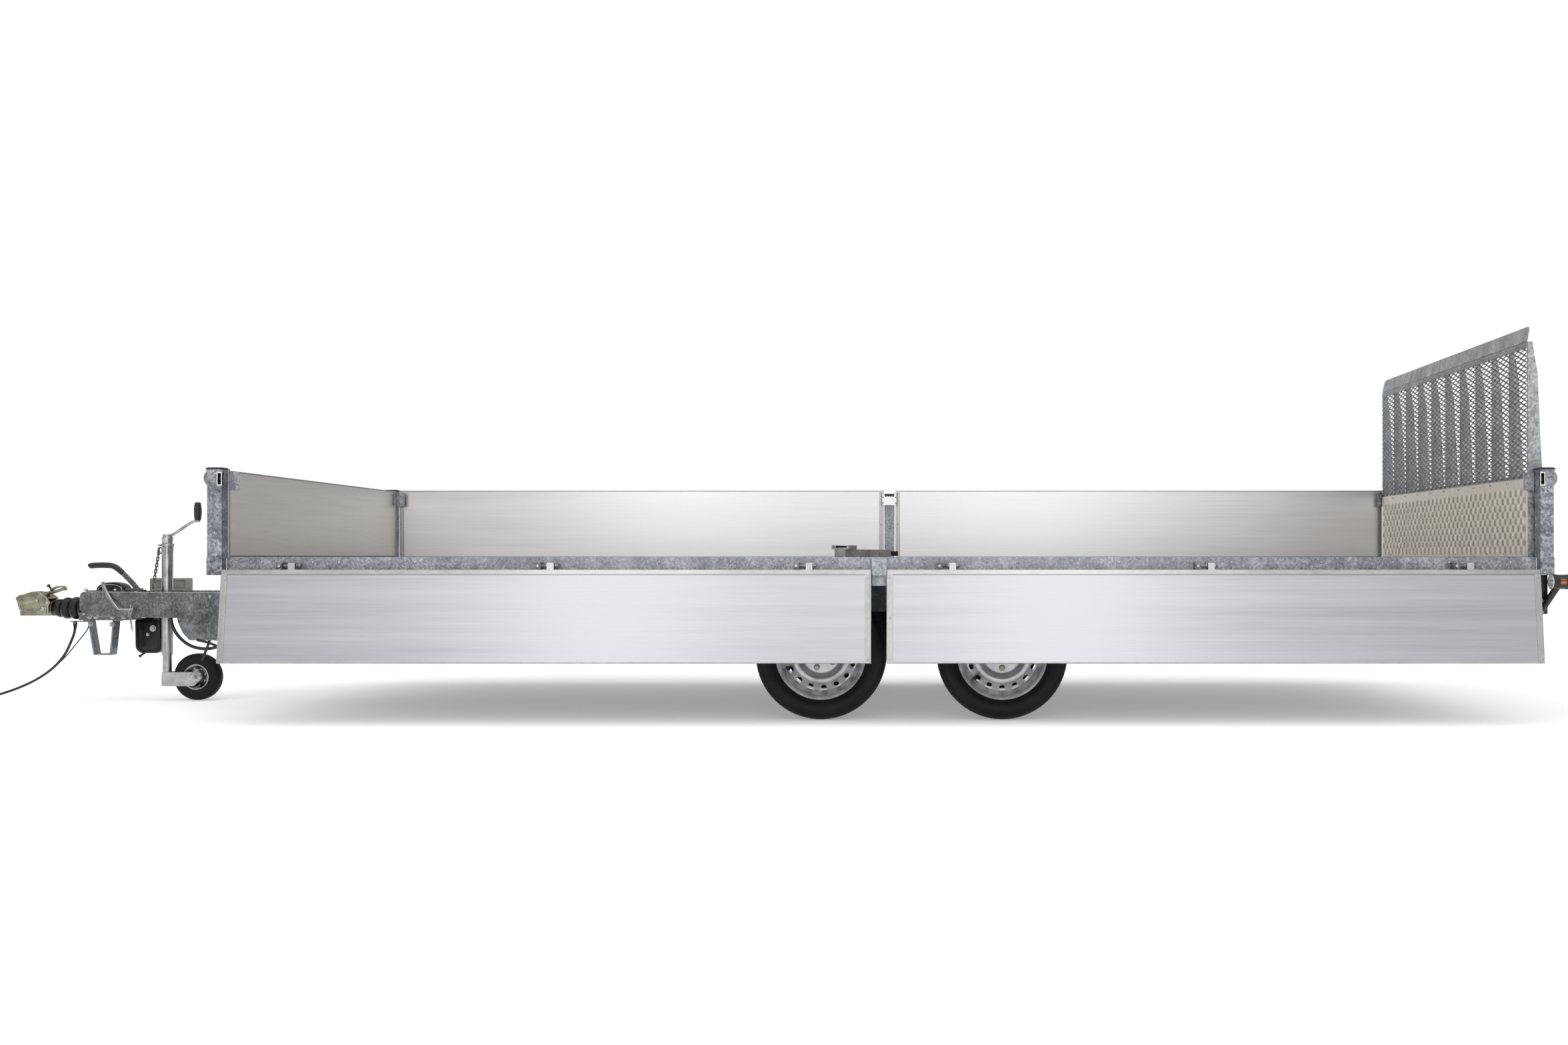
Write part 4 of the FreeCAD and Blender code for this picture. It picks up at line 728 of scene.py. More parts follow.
def build_dropside(side, which):
    """End caps with their rivets, the strip over the hinges with a thin black strip above it that paints the
    shadow in the joint, and the bead along the top of one panel."""
    x0, x1, _ = DROPSIDES[which]
    name, body = side + "_" + which, "dropside_%s_%s" % (side, which)
    thick = PANEL_IN - PANEL_OUT
    outer, inner = -HINGE_OUT + PANEL_OUT, -HINGE_OUT + PANEL_IN
    middle = -HINGE_OUT + (PANEL_OUT + PANEL_IN) / 2
    bottom, top = PIN_Z + PANEL_LOW, PIN_Z + PANEL_HIGH
    caps, rivets = [], []
    for centre in (x0 + CAP_WIDTH / 2, x1 - CAP_WIDTH / 2):
        caps.append(prism(cap_section() + (centre, middle), "xy", bottom - 0.0004, top + 0.0006))
        rivets += [button((centre, middle + way * (thick / 2 + 0.0021), PIN_Z + up), (0, way, 0), 0.0045,
                          0.0016) for up in CAP_RIVETS for way in SIDES]
    piece(name + "_end_caps", on_dropside(together(caps), side), CAP_ALUMINIUM, "dropside_aluminium", body,
          bevel=0.0005)
    piece(name + "_cap_rivets", on_dropside(together(rivets), side), BRIGHT_ZINC, "zinc_plated", body)
    strip = np.array([(outer - 0.0016, 0.018), (outer - 0.0016, 0.033), (outer - 0.0026, 0.0345),
                      (outer - 0.0026, 0.0362), (inner + 0.0014, 0.0362), (inner + 0.0014, 0.018)])
    edge = rounded(thick + 0.0022, 0.0052, 0.0022, centre=(middle, top - 0.0022))
    bars = [prism(strip + (0, PIN_Z), "yz", x0 + 0.0012, x1 - 0.0012),
            prism(edge, "yz", x0 + CAP_WIDTH, x1 - CAP_WIDTH)]
    piece(name + "_hinge_strip", on_dropside(together(bars), side), STRIP_ALUMINIUM, "dropside_aluminium",
          body, bevel=0.0004)
    # A thin black strip along the panel's foot paints the shadow in the joint above the hinge strip.
    joint = block(x0 + 0.004, x1 - 0.004, outer - 0.0004, inner + 0.0004, bottom - 0.0006, bottom + 0.0016)
    piece(name + "_joint_shadow", on_dropside(joint, side), BOOT_RUBBER_AND_JOINT_SHADOW, "boot_rubber", body, bevel=0.0002)


def build_hinges():
    """Bolt heads, washers and split rings on every hinge block."""
    washer = [(0, 0.0062), (0, 0.0098), (0.0022, 0.0098), (0.0022, 0.0062)]
    fixings = []
    for _, _, first in DROPSIDES.values():
        for x in first + HINGE_PITCH * np.arange(3):
            for side in SIDES:
                fixings.append(button((x - 0.0335, side * (HINGE_OUT + 0.0148), PIN_Z), (0, side, 0),
                                      0.0062, 0.0024, hexagon=True))
                fixings += [turned(washer, (x + along, side * HINGE_OUT, PIN_Z), (1, 0, 0), 20, closed=True)
                            for along in (-0.0015, 0.0335)]
                fixings.append(button((x + 0.042, side * HINGE_OUT, PIN_Z), (1, 0, 0), 0.0085, 0.003))
    piece("hinge_block_bolts", fixings, BRIGHT_ZINC, "zinc_plated")


# ---- deck frame --------------------------------------------------------------------------------
HALF_WIDTH = 1.0               # centreline to a side rail's outer face
POST_OUT = 1.032               # centreline to a corner post's outer and inner faces
POST_IN = 0.976
STAKE_X = 3.891
RAIL_BOLTS = (1.476, 1.675, 1.778, 2.075, 2.56, 3.03, 3.31, 3.71, 4.07, 4.43, 4.83, 5.27, 5.62, 5.9, 6.12,
              6.36)


def build_frame_details():
    """Small bolts along both side rails, weld runs at the rail ends, post caps and latch frames. A weld
    run's radius is a mean and two sine waves along it."""
    bolts = [button((x, side * HALF_WIDTH, DECK - 0.021), (0, side, 0), 0.0052, 0.003)
             for x in RAIL_BOLTS for side in SIDES]
    piece("rail_bolts", bolts, BRIGHT_ZINC, "zinc_plated")

    beads = []
    z = np.linspace(DECK - 0.066, DECK - 0.004, 40)
    for x, lean in ((FRONT + 0.0612, 1), (REAR - 0.0552, -1), (STAKE_X - 0.0275, -0.6),
                    (STAKE_X + 0.0275, 0.6)):
        for side in SIDES:
            path = np.stack([np.full(40, x + lean * 0.0012), np.full(40, side * (HALF_WIDTH + 0.0002)), z],
                            1)
            ripple = abs(lean) * (0.0024 + 0.0007 * np.sin(z * 1700) + 0.0003 * np.sin(z * 2900 + 1))
            beads.append(tube(path, ripple, sides=10))
    piece("weld_runs", beads, WELD_ZINC_AND_HIGHLIGHT, "galvanised_frame")

    lids = []
    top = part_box("corner_posts")[1].z
    for x0, x1 in ((FRONT + 0.002, FRONT + 0.058), (REAR - 0.054, REAR - 0.002)):
        for side in SIDES:
            centre = ((x0 + x1) / 2, side * (POST_OUT + POST_IN) / 2)
            lids.append(prism(rounded(x1 - x0 + 0.014, 0.068, 0.005, centre=centre), "xy", top,
                              top + 0.0045))
            lids.append(prism(rounded(x1 - x0 + 0.004, 0.058, 0.006, centre=centre), "xy",
                              top + 0.004, top + 0.0075))
    piece("post_caps", lids, BLACK_PLASTIC, "black_plastic", bevel=0.0015)
    # A bright bent frame round each hook's slot.
    frames = []
    for x in (FRONT + 0.05, REAR - 0.046):
        for side in SIDES:
            y = side * (POST_OUT + 0.0008)
            rim, hole = [rounded(width, height, 0.002, centre=(x, DECK + 0.305))
                         for width, height in ((0.02, 0.054), (0.013, 0.044))]
            frames.append(flat_frame(rim, hole, y - side * 0.0008, y + side * 0.0012))
    piece("latch_slot_frames", frames, WELD_ZINC_AND_HIGHLIGHT, "zinc_plated", bevel=0.0004)

    rivets = [button((x, side * POST_OUT, DECK + up), (0, side, 0), 0.0042, 0.0018)
              for x in (FRONT + 0.03, REAR - 0.028) for side in SIDES for up in (0.048, 0.096, 0.305)]
    piece("post_rivets", rivets, BRIGHT_ZINC, "zinc_plated")


def build_headboard():
    """Edge trims at the headboard's ends, a bead along its top, and the striker plates beside them."""
    low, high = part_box("headboard")
    thick, middle = high.x - low.x, (low.x + high.x) / 2
    trims = []
    for side in SIDES:
        outline = rounded(thick + 0.005, 0.02, 0.002, centre=(middle, side * (high.y - 0.0085)))
        trims.append(prism(outline, "xy", low.z + 0.001, high.z + 0.0012))
    for tall, corner, z in ((0.006, 0.0024, high.z - 0.0022), (0.01, 0.0016, low.z + 0.006)):
        trims.append(prism(rounded(thick + 0.003, tall, corner, centre=(middle, z)), "xz",
                           low.y + 0.02, high.y - 0.02))
    piece("headboard_trims", trims, CAP_ALUMINIUM, "headboard_aluminium", bevel=0.0006)
    plates = [block(high.x, high.x + 0.0025, side * (high.y - 0.052), side * (high.y - 0.028),
                    DECK + 0.268, DECK + 0.328) for side in SIDES]
    piece("headboard_strikers", plates, FRAME_ZINC, "galvanised_frame", bevel=0.0008)


def build_far_latch_plates():
    """Keeper plates with two rivets on the posts' inner faces."""
    plates, rivets = [], []
    for x0, x1 in ((FRONT + 0.06, FRONT + 0.102), (REAR - 0.098, REAR - 0.056)):
        for side in SIDES:
            y = side * (POST_IN - 0.0002)
            face = y - side * 0.0025
            plates.append(block(x0, x1, y, face, DECK + 0.262, DECK + 0.334))
            rivets += [button(((x0 + x1) / 2, face, DECK + up), (0, -side, 0), 0.004, 0.0016)
                       for up in (0.278, 0.318)]
    piece("latch_keepers", plates, FRAME_ZINC, "galvanised_frame", bevel=0.001)
    piece("keeper_rivets", rivets, BRIGHT_ZINC, "zinc_plated")


# ---- ramp --------------------------------------------------------------------------------------
MESH_LONG = 0.062              # diamond's long and short ways
MESH_SHORT = 0.022
TREAD_PITCH = 0.056            # five-bar pattern's repeat
RAMP_FACE = 6.4398             # expanded sheet's inner face


def build_mesh():
    """Expanded sheet: each strand is a flat bar that zigzags along y, level over each bond and
    sloping between bonds, and the next row is its mirror image, so that the two meet at the bonds."""
    low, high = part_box("ramp_mesh")
    half_pitch, rise = MESH_LONG / 2, MESH_SHORT / 2
    rows = int((high.z - low.z - 0.004) / rise)
    columns = int((high.y - low.y) / half_pitch)
    step = (high.y - low.y) / columns
    bond = 0.006
    spots = (np.arange(columns + 1)[:, None] * step + np.array([-bond, bond])).ravel()[1:-1] + low.y
    phase = np.repeat(np.arange(columns + 1) % 2, 2)[1:-1]
    tall, deep = 0.0054, 0.0026
    section = np.array([(-deep / 2 - 0.0008, -tall / 2), (deep / 2 - 0.0008, -tall / 2),
                        (deep / 2 + 0.0008, tall / 2), (-deep / 2 + 0.0008, tall / 2)])
    strands = []
    x = (low.x + high.x) / 2
    for row in range(rows):
        swing = (phase * 2 - 1) * (rise - tall) / 2 * (1 if row % 2 else -1)
        z = low.z + 0.006 + rise * (row + 0.5) + swing
        path = np.stack([np.full(len(spots), x), spots, z], 1)
        points = path[:, None] + np.stack([section[:, 0], np.zeros(4), section[:, 1]], 1)[None]
        strands.append(capped(points))
    piece("expanded_sheet", strands, MESH_ZINC, "ramp_steel", "ramp", ["ramp_mesh"], smooth=30)


def build_tread():
    """Five-bar plate: groups of five lens-shaped bars, each group square to its neighbours. A bar's
    height falls as 1 - s^2 along it and 1 - t^2 across it."""
    low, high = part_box("ramp_tread_plate")
    s, t = np.meshgrid(np.linspace(-1, 1, 6), np.linspace(-1, 1, 4), indexing="ij")
    length, width, tall = 0.0175, 0.0023, 0.0012
    across = width * t * np.sqrt(np.clip(1 - s ** 2, 0.0, 1))
    height = tall * (1 - t ** 2) * (1 - s ** 4)
    shapes = []
    for turn in (1, -1):
        c = math.sqrt(0.5)
        y = (length * s - turn * across) * c
        z = (turn * length * s + across) * c
        bar = surface(np.stack([-height - 0.0002, y, z], -1))
        half = TREAD_PITCH / 2
        rows = int((high.z - low.z) / half) - 1
        columns = int((high.y - low.y) / half) - 1
        i, j = np.meshgrid(np.arange(columns), np.arange(rows), indexing="ij")
        chosen = (i + j) % 2 == (0 if turn == 1 else 1)
        i, j = i[chosen], j[chosen]
        gap = 0.0062 * (np.arange(5) - 2)
        cy = low.y + half * (i + 1.0)[:, None] + gap[None] * c * -turn
        cz = low.z + half * (j + 1.0)[:, None] + gap[None] * c
        shapes.append(copies(bar, np.stack([np.full(cy.shape, low.x), cy, cz], -1)))
    piece("tread_bars", shapes, TREAD_ALUMINIUM, "ramp_aluminium", "ramp")
    rivets = []
    for z, pitch, first in ((low.z + 0.012, 0.19, 0.05), (high.z - 0.01, 0.19, 0.02),
                            (low.z + 0.15, 0.38, 0.2)):
        for y in np.arange(low.y + first, high.y - 0.01, pitch):
            rivets.append(button((low.x, y, z), (-1, 0, 0), 0.0046, 0.0022))
    for z in np.arange(high.z + 0.06, high.z + 0.54, 0.12):
        for y in np.linspace(low.y + 0.0025, high.y - 0.0025, 11):
            rivets.append(button((low.x, y, z), (-1, 0, 0), 0.0036, 0.0016, steps=10))
    piece("ramp_rivets", rivets, BRIGHT_ZINC, "zinc_plated", "ramp")


def build_toe_trim():
    """The strip with its bolts that clamps the expanded sheet under the toe plate, and a plate on each
    outer rib."""
    low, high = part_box("ramp_frame")
    fold = block(RAMP_FACE, RAMP_FACE + 0.0034, low.y, high.y, DECK + 0.826, DECK + 0.846)
    piece("mesh_clamp_strip", fold, RAMP_ZINC, "ramp_steel", "ramp", bevel=0.0006)
    bolts = [button((RAMP_FACE, y, DECK + 0.836), (-1, 0, 0), 0.005, 0.0026)
             for y in np.linspace(low.y + 0.05, high.y - 0.05, 11)]
    piece("clamp_strip_bolts", bolts, BRIGHT_ZINC, "zinc_plated", "ramp")
    outline = [(6.4432, DECK + 0.012), (6.476, DECK + 0.012), (6.513, DECK + 0.054),
               (6.481, DECK + 0.728), (6.4615, DECK + 0.846), (6.4432, DECK + 0.846)]
    plates = [prism(outline, "xz", side * (high.y + 0.0005), side * (high.y + 0.0027)) for side in SIDES]
    piece("ramp_side_plates", plates, RAMP_ZINC, "ramp_steel", "ramp", bevel=0.001)


# ---- wheels ------------------------------------------------------------------------------------
WHEEL_OUT = 0.802
WHEELS = {"front": 3.654, "rear": 4.379}
WHEEL_Z = GROUND + 0.262
OUTWARD = (0, -1, 0)
BOLT_CIRCLE = 0.056
VALVE_RADIUS = 0.143
VALVE_ANGLE = math.radians(222)


def tyre_shape():
    """Tyre about the y axis, outer side at -y. The profile (radius, y) is a spline-like set of points
    from bead to bead; over the tread the radius drops into three grooves all the way round, and into
    slanted sipes where a saw wave of angle and width is low."""
    side = np.array([(0.1655, -0.07), (0.174, -0.0716), (0.1832, -0.0724), (0.185, -0.079),
                     (0.1885, -0.0835), (0.19, -0.083), (0.196, -0.088), (0.204, -0.0928), (0.214, -0.0962),
                     (0.22, -0.0968), (0.2215, -0.0976), (0.2235, -0.0976), (0.225, -0.0966),
                     (0.233, -0.095), (0.24, -0.0922), (0.2412, -0.093), (0.2428, -0.0924),
                     (0.244, -0.0908), (0.249, -0.087), (0.254, -0.0812), (0.2575, -0.0752),
                     (0.2596, -0.069)])
    tread_y = np.linspace(-0.066, 0.066, 45)
    tread_r = 0.262 - 0.0022 * (np.abs(tread_y) / 0.066) ** 3
    grooves = np.zeros(45)
    for middle in (-0.036, -0.012, 0.012, 0.036):
        grooves = np.maximum(grooves, np.clip((0.0042 - np.abs(tread_y - middle)) / 0.0014, 0, 1))
    profile = np.concatenate([side, np.stack([tread_r, tread_y], 1), side[::-1] * (1, -1)])
    depth = np.concatenate([np.zeros(22), 0.0062 * grooves, np.zeros(22)])
    blocks = np.concatenate([np.zeros(20), np.ones(49), np.zeros(20)])
    inside = np.array([(0.1655, 0.052), (0.2, 0.078), (0.228, 0.082), (0.245, 0.07), (0.249, 0.04),
                       (0.249, -0.04), (0.245, -0.07), (0.228, -0.082), (0.2, -0.078), (0.1655, -0.052)])
    steps = 280
    angle = whole_turn(steps)
    across = profile[:, 1]
    wave = (angle[None] * 70 / (2 * math.pi) + np.abs(across[:, None]) * 26) % 1.0
    sipe = 0.0045 * blocks[:, None] * np.clip((0.17 - np.abs(wave - 0.5)) / 0.06, 0, 1)
    radius = profile[:, :1] - np.maximum(depth[:, None], sipe * (depth[:, None] < 0.001))
    inner = np.repeat(inside[:, :1], steps, 1)
    radius = np.concatenate([radius, inner])
    y = np.concatenate([across, inside[:, 1]])[:, None] + np.zeros((1, steps))
    return surface(np.stack([radius * np.cos(angle), y, radius * np.sin(angle)], -1), True, True)


def disc_profile(radius):
    """Height of the pressed disc's face along y: flat at the bolts, a deep step, the raised ring with
    the vents, and the slope down to the barrel."""
    table_r = [0.03, 0.04, 0.074, 0.08, 0.088, 0.096, 0.104, 0.112, 0.122, 0.13, 0.138, 0.146, 0.152,
               0.1605]
    table_y = [-0.046, -0.042, -0.04, -0.041, -0.048, -0.0545, -0.0565, -0.056, -0.05, -0.0445, -0.04,
               -0.037, -0.0352, -0.034]
    return np.interp(radius, table_r, table_y)


def rim_shapes():
    """Rim about the y axis, outer side at -y: a ring of sixteen sectors, each a patch between an oval
    vent and the sector's border, inside and outside rings, and a stepped barrel."""
    shapes = []
    inner_r, outer_r, vents = 0.118, 0.15, 16
    turn = whole_turn(32)
    share = np.linspace(0, 1, 6)[:, None]
    half_sector = math.pi / vents
    middle = (inner_r + outer_r) / 2 + 0.001
    corner = np.maximum(np.abs(np.cos(turn)), np.abs(np.sin(turn)))
    border_a = half_sector * np.cos(turn) / corner
    border_r = middle + (outer_r - inner_r) / 2 * np.sin(turn) / corner
    border_r = np.clip(border_r, inner_r, outer_r)
    vent_a, vent_r = 0.0112 / middle * np.cos(turn), middle - 0.001 + 0.0082 * np.sin(turn)
    a = vent_a * (1 - share) + border_a * share
    r = vent_r * (1 - share) + border_r * share
    dish = 0.0022 * (1 - share[:, 0]) ** 2
    for vent in range(vents):
        angle = a + vent * 2 * half_sector
        face = disc_profile(r) + dish[:, None]
        front = np.stack([r * np.cos(angle), face, r * np.sin(angle)], -1)
        back = front + (0, 0.0035, 0)
        shapes.append(surface(np.concatenate([front[::-1], back]), around_columns=True))
    angle = whole_turn(128)
    for radii in (np.linspace(0.0296, inner_r, 26), np.linspace(outer_r, 0.1605, 5)):
        profile = np.concatenate([np.stack([radii, disc_profile(radii)], 1),
                                  np.stack([radii, disc_profile(radii) + 0.0035], 1)[::-1]])
        ring = np.stack([profile[:, :1] * np.cos(angle), profile[:, 1:] + 0 * angle[None],
                         profile[:, :1] * np.sin(angle)], -1)
        shapes.append(surface(ring, True, True))
    barrel = np.array([(0.1795, -0.079), (0.1818, -0.0775), (0.1822, -0.0735), (0.1795, -0.0722),
                       (0.17, -0.0712), (0.1655, -0.07), (0.1648, -0.056), (0.163, -0.052), (0.156, -0.047),
                       (0.152, -0.04), (0.1515, -0.01), (0.156, 0.0), (0.164, 0.006), (0.1648, 0.056),
                       (0.1655, 0.07), (0.17, 0.0712), (0.1795, 0.0722), (0.182, 0.0735), (0.1818, 0.0775),
                       (0.1795, 0.079), (0.169, 0.075), (0.162, 0.069), (0.1608, 0.056), (0.16, 0.009),
                       (0.1525, 0.003), (0.1482, -0.008), (0.1486, -0.042), (0.153, -0.05), (0.16, -0.055),
                       (0.1612, -0.066), (0.165, -0.0715), (0.17, -0.075)])
    ring = np.stack([barrel[:, :1] * np.cos(angle), barrel[:, 1:] + 0 * angle[None],
                     barrel[:, :1] * np.sin(angle)], -1)
    shapes.append(surface(ring, True, True))
    return together(shapes)


def build_wheels():
    """Tyre, rim, hub, brake drum, bolts and valve of each wheel, made about the y axis with the outer
    side at -y and then put in place."""
    tyre, rim = tyre_shape(), rim_shapes()
    hub = spun([(-0.045, 0.029), (0.02, 0.0292), (0.023, 0.0275), (0.0245, 0.024), (0.025, 0.0)],
               (0, -0.04, 0), OUTWARD, 40)
    drum = spun([(0, 0.143), (0.004, 0.143), (0.006, 0.122), (0.048, 0.118), (0.052, 0.11)],
                (0, 0.03, 0), OUTWARD, 56)
    bolts = []
    for angle in np.radians(54 + 72 * np.arange(5)):
        x, z = BOLT_CIRCLE * math.cos(angle), BOLT_CIRCLE * math.sin(angle)
        bolts.append(spun([(-0.004, 0.0122), (0.002, 0.0122), (0.0045, 0.0098)], (x, -0.0405, z), OUTWARD,
                          24))
        bolts.append(button((x, -0.045, z), OUTWARD, 0.0088, 0.0105, hexagon=True))
    seat = (VALVE_RADIUS * math.cos(VALVE_ANGLE), -0.038, VALVE_RADIUS * math.sin(VALVE_ANGLE))
    valve = spun([(-0.002, 0.008), (0.004, 0.0078), (0.008, 0.0048), (0.026, 0.004), (0.027, 0.0048),
                  (0.035, 0.0046), (0.036, 0.0036)], seat, (-0.15, -1, 0.15), 16)
    for which, x in WHEELS.items():
        turn = turn_matrix("y", 18 if which == "front" else 0)
        for side in ("near", "far"):
            name, body = side + "_" + which, "wheel_%s_%s" % (side, which)
            for part, shape, finish, slot, more in (("_tyre", tyre, TYRE_RUBBER, "tyre_rubber",
                                                     dict(stands_for=["tyre_" + name], smooth=40)),
                                                    ("_rim", rim, RIM_PAINT, "rim_silver",
                                                     dict(stands_for=["rim_" + name], smooth=50)),
                                                    ("_hub", hub, DRAWBAR_ZINC, "chassis_steel", {}),
                                                    ("_brake_drum", drum, BLACK_ENAMEL_AND_SLOT_SHADE, "chassis_steel", {}),
                                                    ("_wheel_bolts", together(bolts), YELLOW_ZINC,
                                                     "zinc_plated", {}),
                                                    ("_valve", valve, BLACK_PLASTIC, "black_plastic", {})):
                placed = moved(shape, turn, offset=(x, -WHEEL_OUT, WHEEL_Z), mirror=side == "far")
                piece(name + part, placed, finish, slot, body, **more)


# ---- coupling ----------------------------------------------------------------------------------
def build_coupling():
    """Cast cheeks, a sloping nose and ribs over the ball cup, its bolts, and the lifting handle."""
    cheek = [(-0.044, 0.046), (-0.034, 0.054), (-0.026, 0.06), (0.02, 0.069), (0.058, 0.075),
             (0.066, 0.072), (0.098, 0.05), (0.104, 0.04), (0.106, -0.024), (0.1, -0.03), (0.03, -0.03),
             (-0.014, -0.012), (-0.028, -0.004), (-0.032, 0.02)]
    raised = [(-0.034, 0.04), (-0.018, 0.046), (0.04, 0.054), (0.05, 0.046), (0.052, 0.03), (0.02, 0.02),
              (-0.022, 0.016)]
    lower = [(0.01, -0.004), (0.06, 0.006), (0.098, 0.006), (0.098, -0.024), (0.04, -0.026),
             (0.006, -0.016)]
    shapes = []
    for side in SIDES:
        shapes.append(cast_cheek(cheek, side * 0.037, side * 0.047, 0.003))
        shapes += [cast_cheek(outline, side * 0.046, side * 0.0505, 0.002) for outline in (raised, lower)]
    shell = [(-0.044, 0.046), (-0.026, 0.06), (0.02, 0.069), (0.058, 0.075), (0.066, 0.072), (0.098, 0.05),
             (0.096, 0.043), (0.062, 0.064), (0.02, 0.06), (-0.02, 0.052), (-0.038, 0.04)]
    shapes.append(prism(shell, "xz", -0.04, 0.04))
    nose = [(-0.044, 0.046), (-0.038, 0.04), (-0.034, 0.01), (-0.03, -0.006), (-0.036, 0.018)]
    shapes.append(prism(nose, "xz", -0.04, 0.04))
    for y in (-0.018, 0.0, 0.018):
        rib = [(-0.02, 0.058), (0.02, 0.066), (0.05, 0.071), (0.044, 0.077), (0.018, 0.075),
               (-0.014, 0.066)]
        shapes.append(prism(rib, "xz", y - 0.003, y + 0.003))
    piece("coupling_casting", shapes, YELLOW_ZINC, "cast_coupling", "coupling", bevel=0.0022)
    bolts = [button((0.08, side * 0.0495, -0.003), (0, side, 0), 0.01, 0.004) for side in SIDES]
    bolts += [spun([(0, 0.0065), (0.003, 0.006)], (0.056, side * 0.0495, 0.036), (0, side, 0),
                   20) for side in SIDES]
    bolts += [bolt((0.102, side * 0.045, 0.026), (0, side, 0), 0.0075, 0.005) for side in SIDES]
    piece("coupling_bolts", bolts, BRIGHT_ZINC, "zinc_plated", "coupling")

    # Handle: an arm from the pivot, a curved pad for the palm, and a black catch on top.
    spine = smooth_path([(0.056, 0, 0.044), (0.07, 0, 0.058), (0.086, 0, 0.068), (0.104, 0, 0.072),
                         (0.13, 0, 0.08), (0.152, 0, 0.088), (0.16, 0, 0.083)], 6)
    share = np.linspace(0, 1, len(spine))
    width = np.interp(share, [0, 0.3, 0.5, 0.9, 1.0], [0.7, 0.7, 1.0, 1.05, 0.8])
    pad = swept(spine, rounded(0.034, 0.011, 0.005), (0, 1, 0), width)
    hook = swept(smooth_path([(0.09, 0, 0.07), (0.1, 0, 0.086), (0.12, 0, 0.096), (0.146, 0, 0.099),
                              (0.158, 0, 0.094)], 6), rounded(0.026, 0.008, 0.0036), (0, 1, 0))
    piece("coupling_handle_pad", [pad, hook], YELLOW_ZINC, "cast_coupling", "coupling_handle",
          ["coupling_handle"], bevel=0.0006)
    catch = [tube([(0.094, 0, 0.086), (0.08, 0, 0.104)], 0.0045),
             button((0.082, 0, 0.101), (-0.6, 0, 0.8), 0.009, 0.007)]
    piece("coupling_catch", catch, BLACK_PLASTIC, "cast_coupling", "coupling_handle")


def build_boot():
    """Bellows boot: radius = a taper from the head to the housing, plus |sin| of the length for three
    and a half folds; a clamp band lies at the housing's end."""
    along = np.linspace(0.0, 1.0, 113)
    base = np.interp(along, [0.0, 0.12, 0.4, 1.0], [0.0335, 0.0345, 0.0385, 0.0415])
    fold = np.interp(along, [0.0, 0.14, 0.3, 1.0], [0.0, 0.0045, 0.01, 0.0115])
    radius = base + fold * np.abs(np.sin(math.pi * 3.5 * along)) ** 0.75
    x = 0.11 + 0.14 * along
    wall = 0.0022
    profile = np.concatenate([np.stack([x, radius], 1), np.stack([x, radius - wall], 1)[::-1]])
    shell = turned(profile, (0, 0, 0), (1, 0, 0), 56, closed=True)
    boot = piece("bellows_boot", shell, BOOT_RUBBER_AND_JOINT_SHADOW, "boot_rubber", stands_for=["drawtube_boot"], smooth=60)
    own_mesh(boot)
    band = turned([(-0.004, 0.0425), (-0.004, 0.0452), (0.004, 0.0452), (0.004, 0.0425)], (0.246, 0, 0),
                  (1, 0, 0), 56, closed=True)
    piece("boot_band", band, BLACK_ENAMEL_AND_SLOT_SHADE, "boot_rubber", bevel=0.0006)


# ---- drawbar and handbrake ---------------------------------------------------------------------
BEAM_START = 0.28             # drawbar beams spread from here
BEAM_OUT = 0.072
BEAM_SPREAD = 0.2849


def beam_side(x, proud=0.0):
    """How far a beam's middle is from the centreline at x, plus what stands proud of it."""
    return BEAM_OUT + (x - BEAM_START) * BEAM_SPREAD + proud


PIVOT_X = 0.517                # handbrake lever's pivot
PIVOT_Z = 0.07


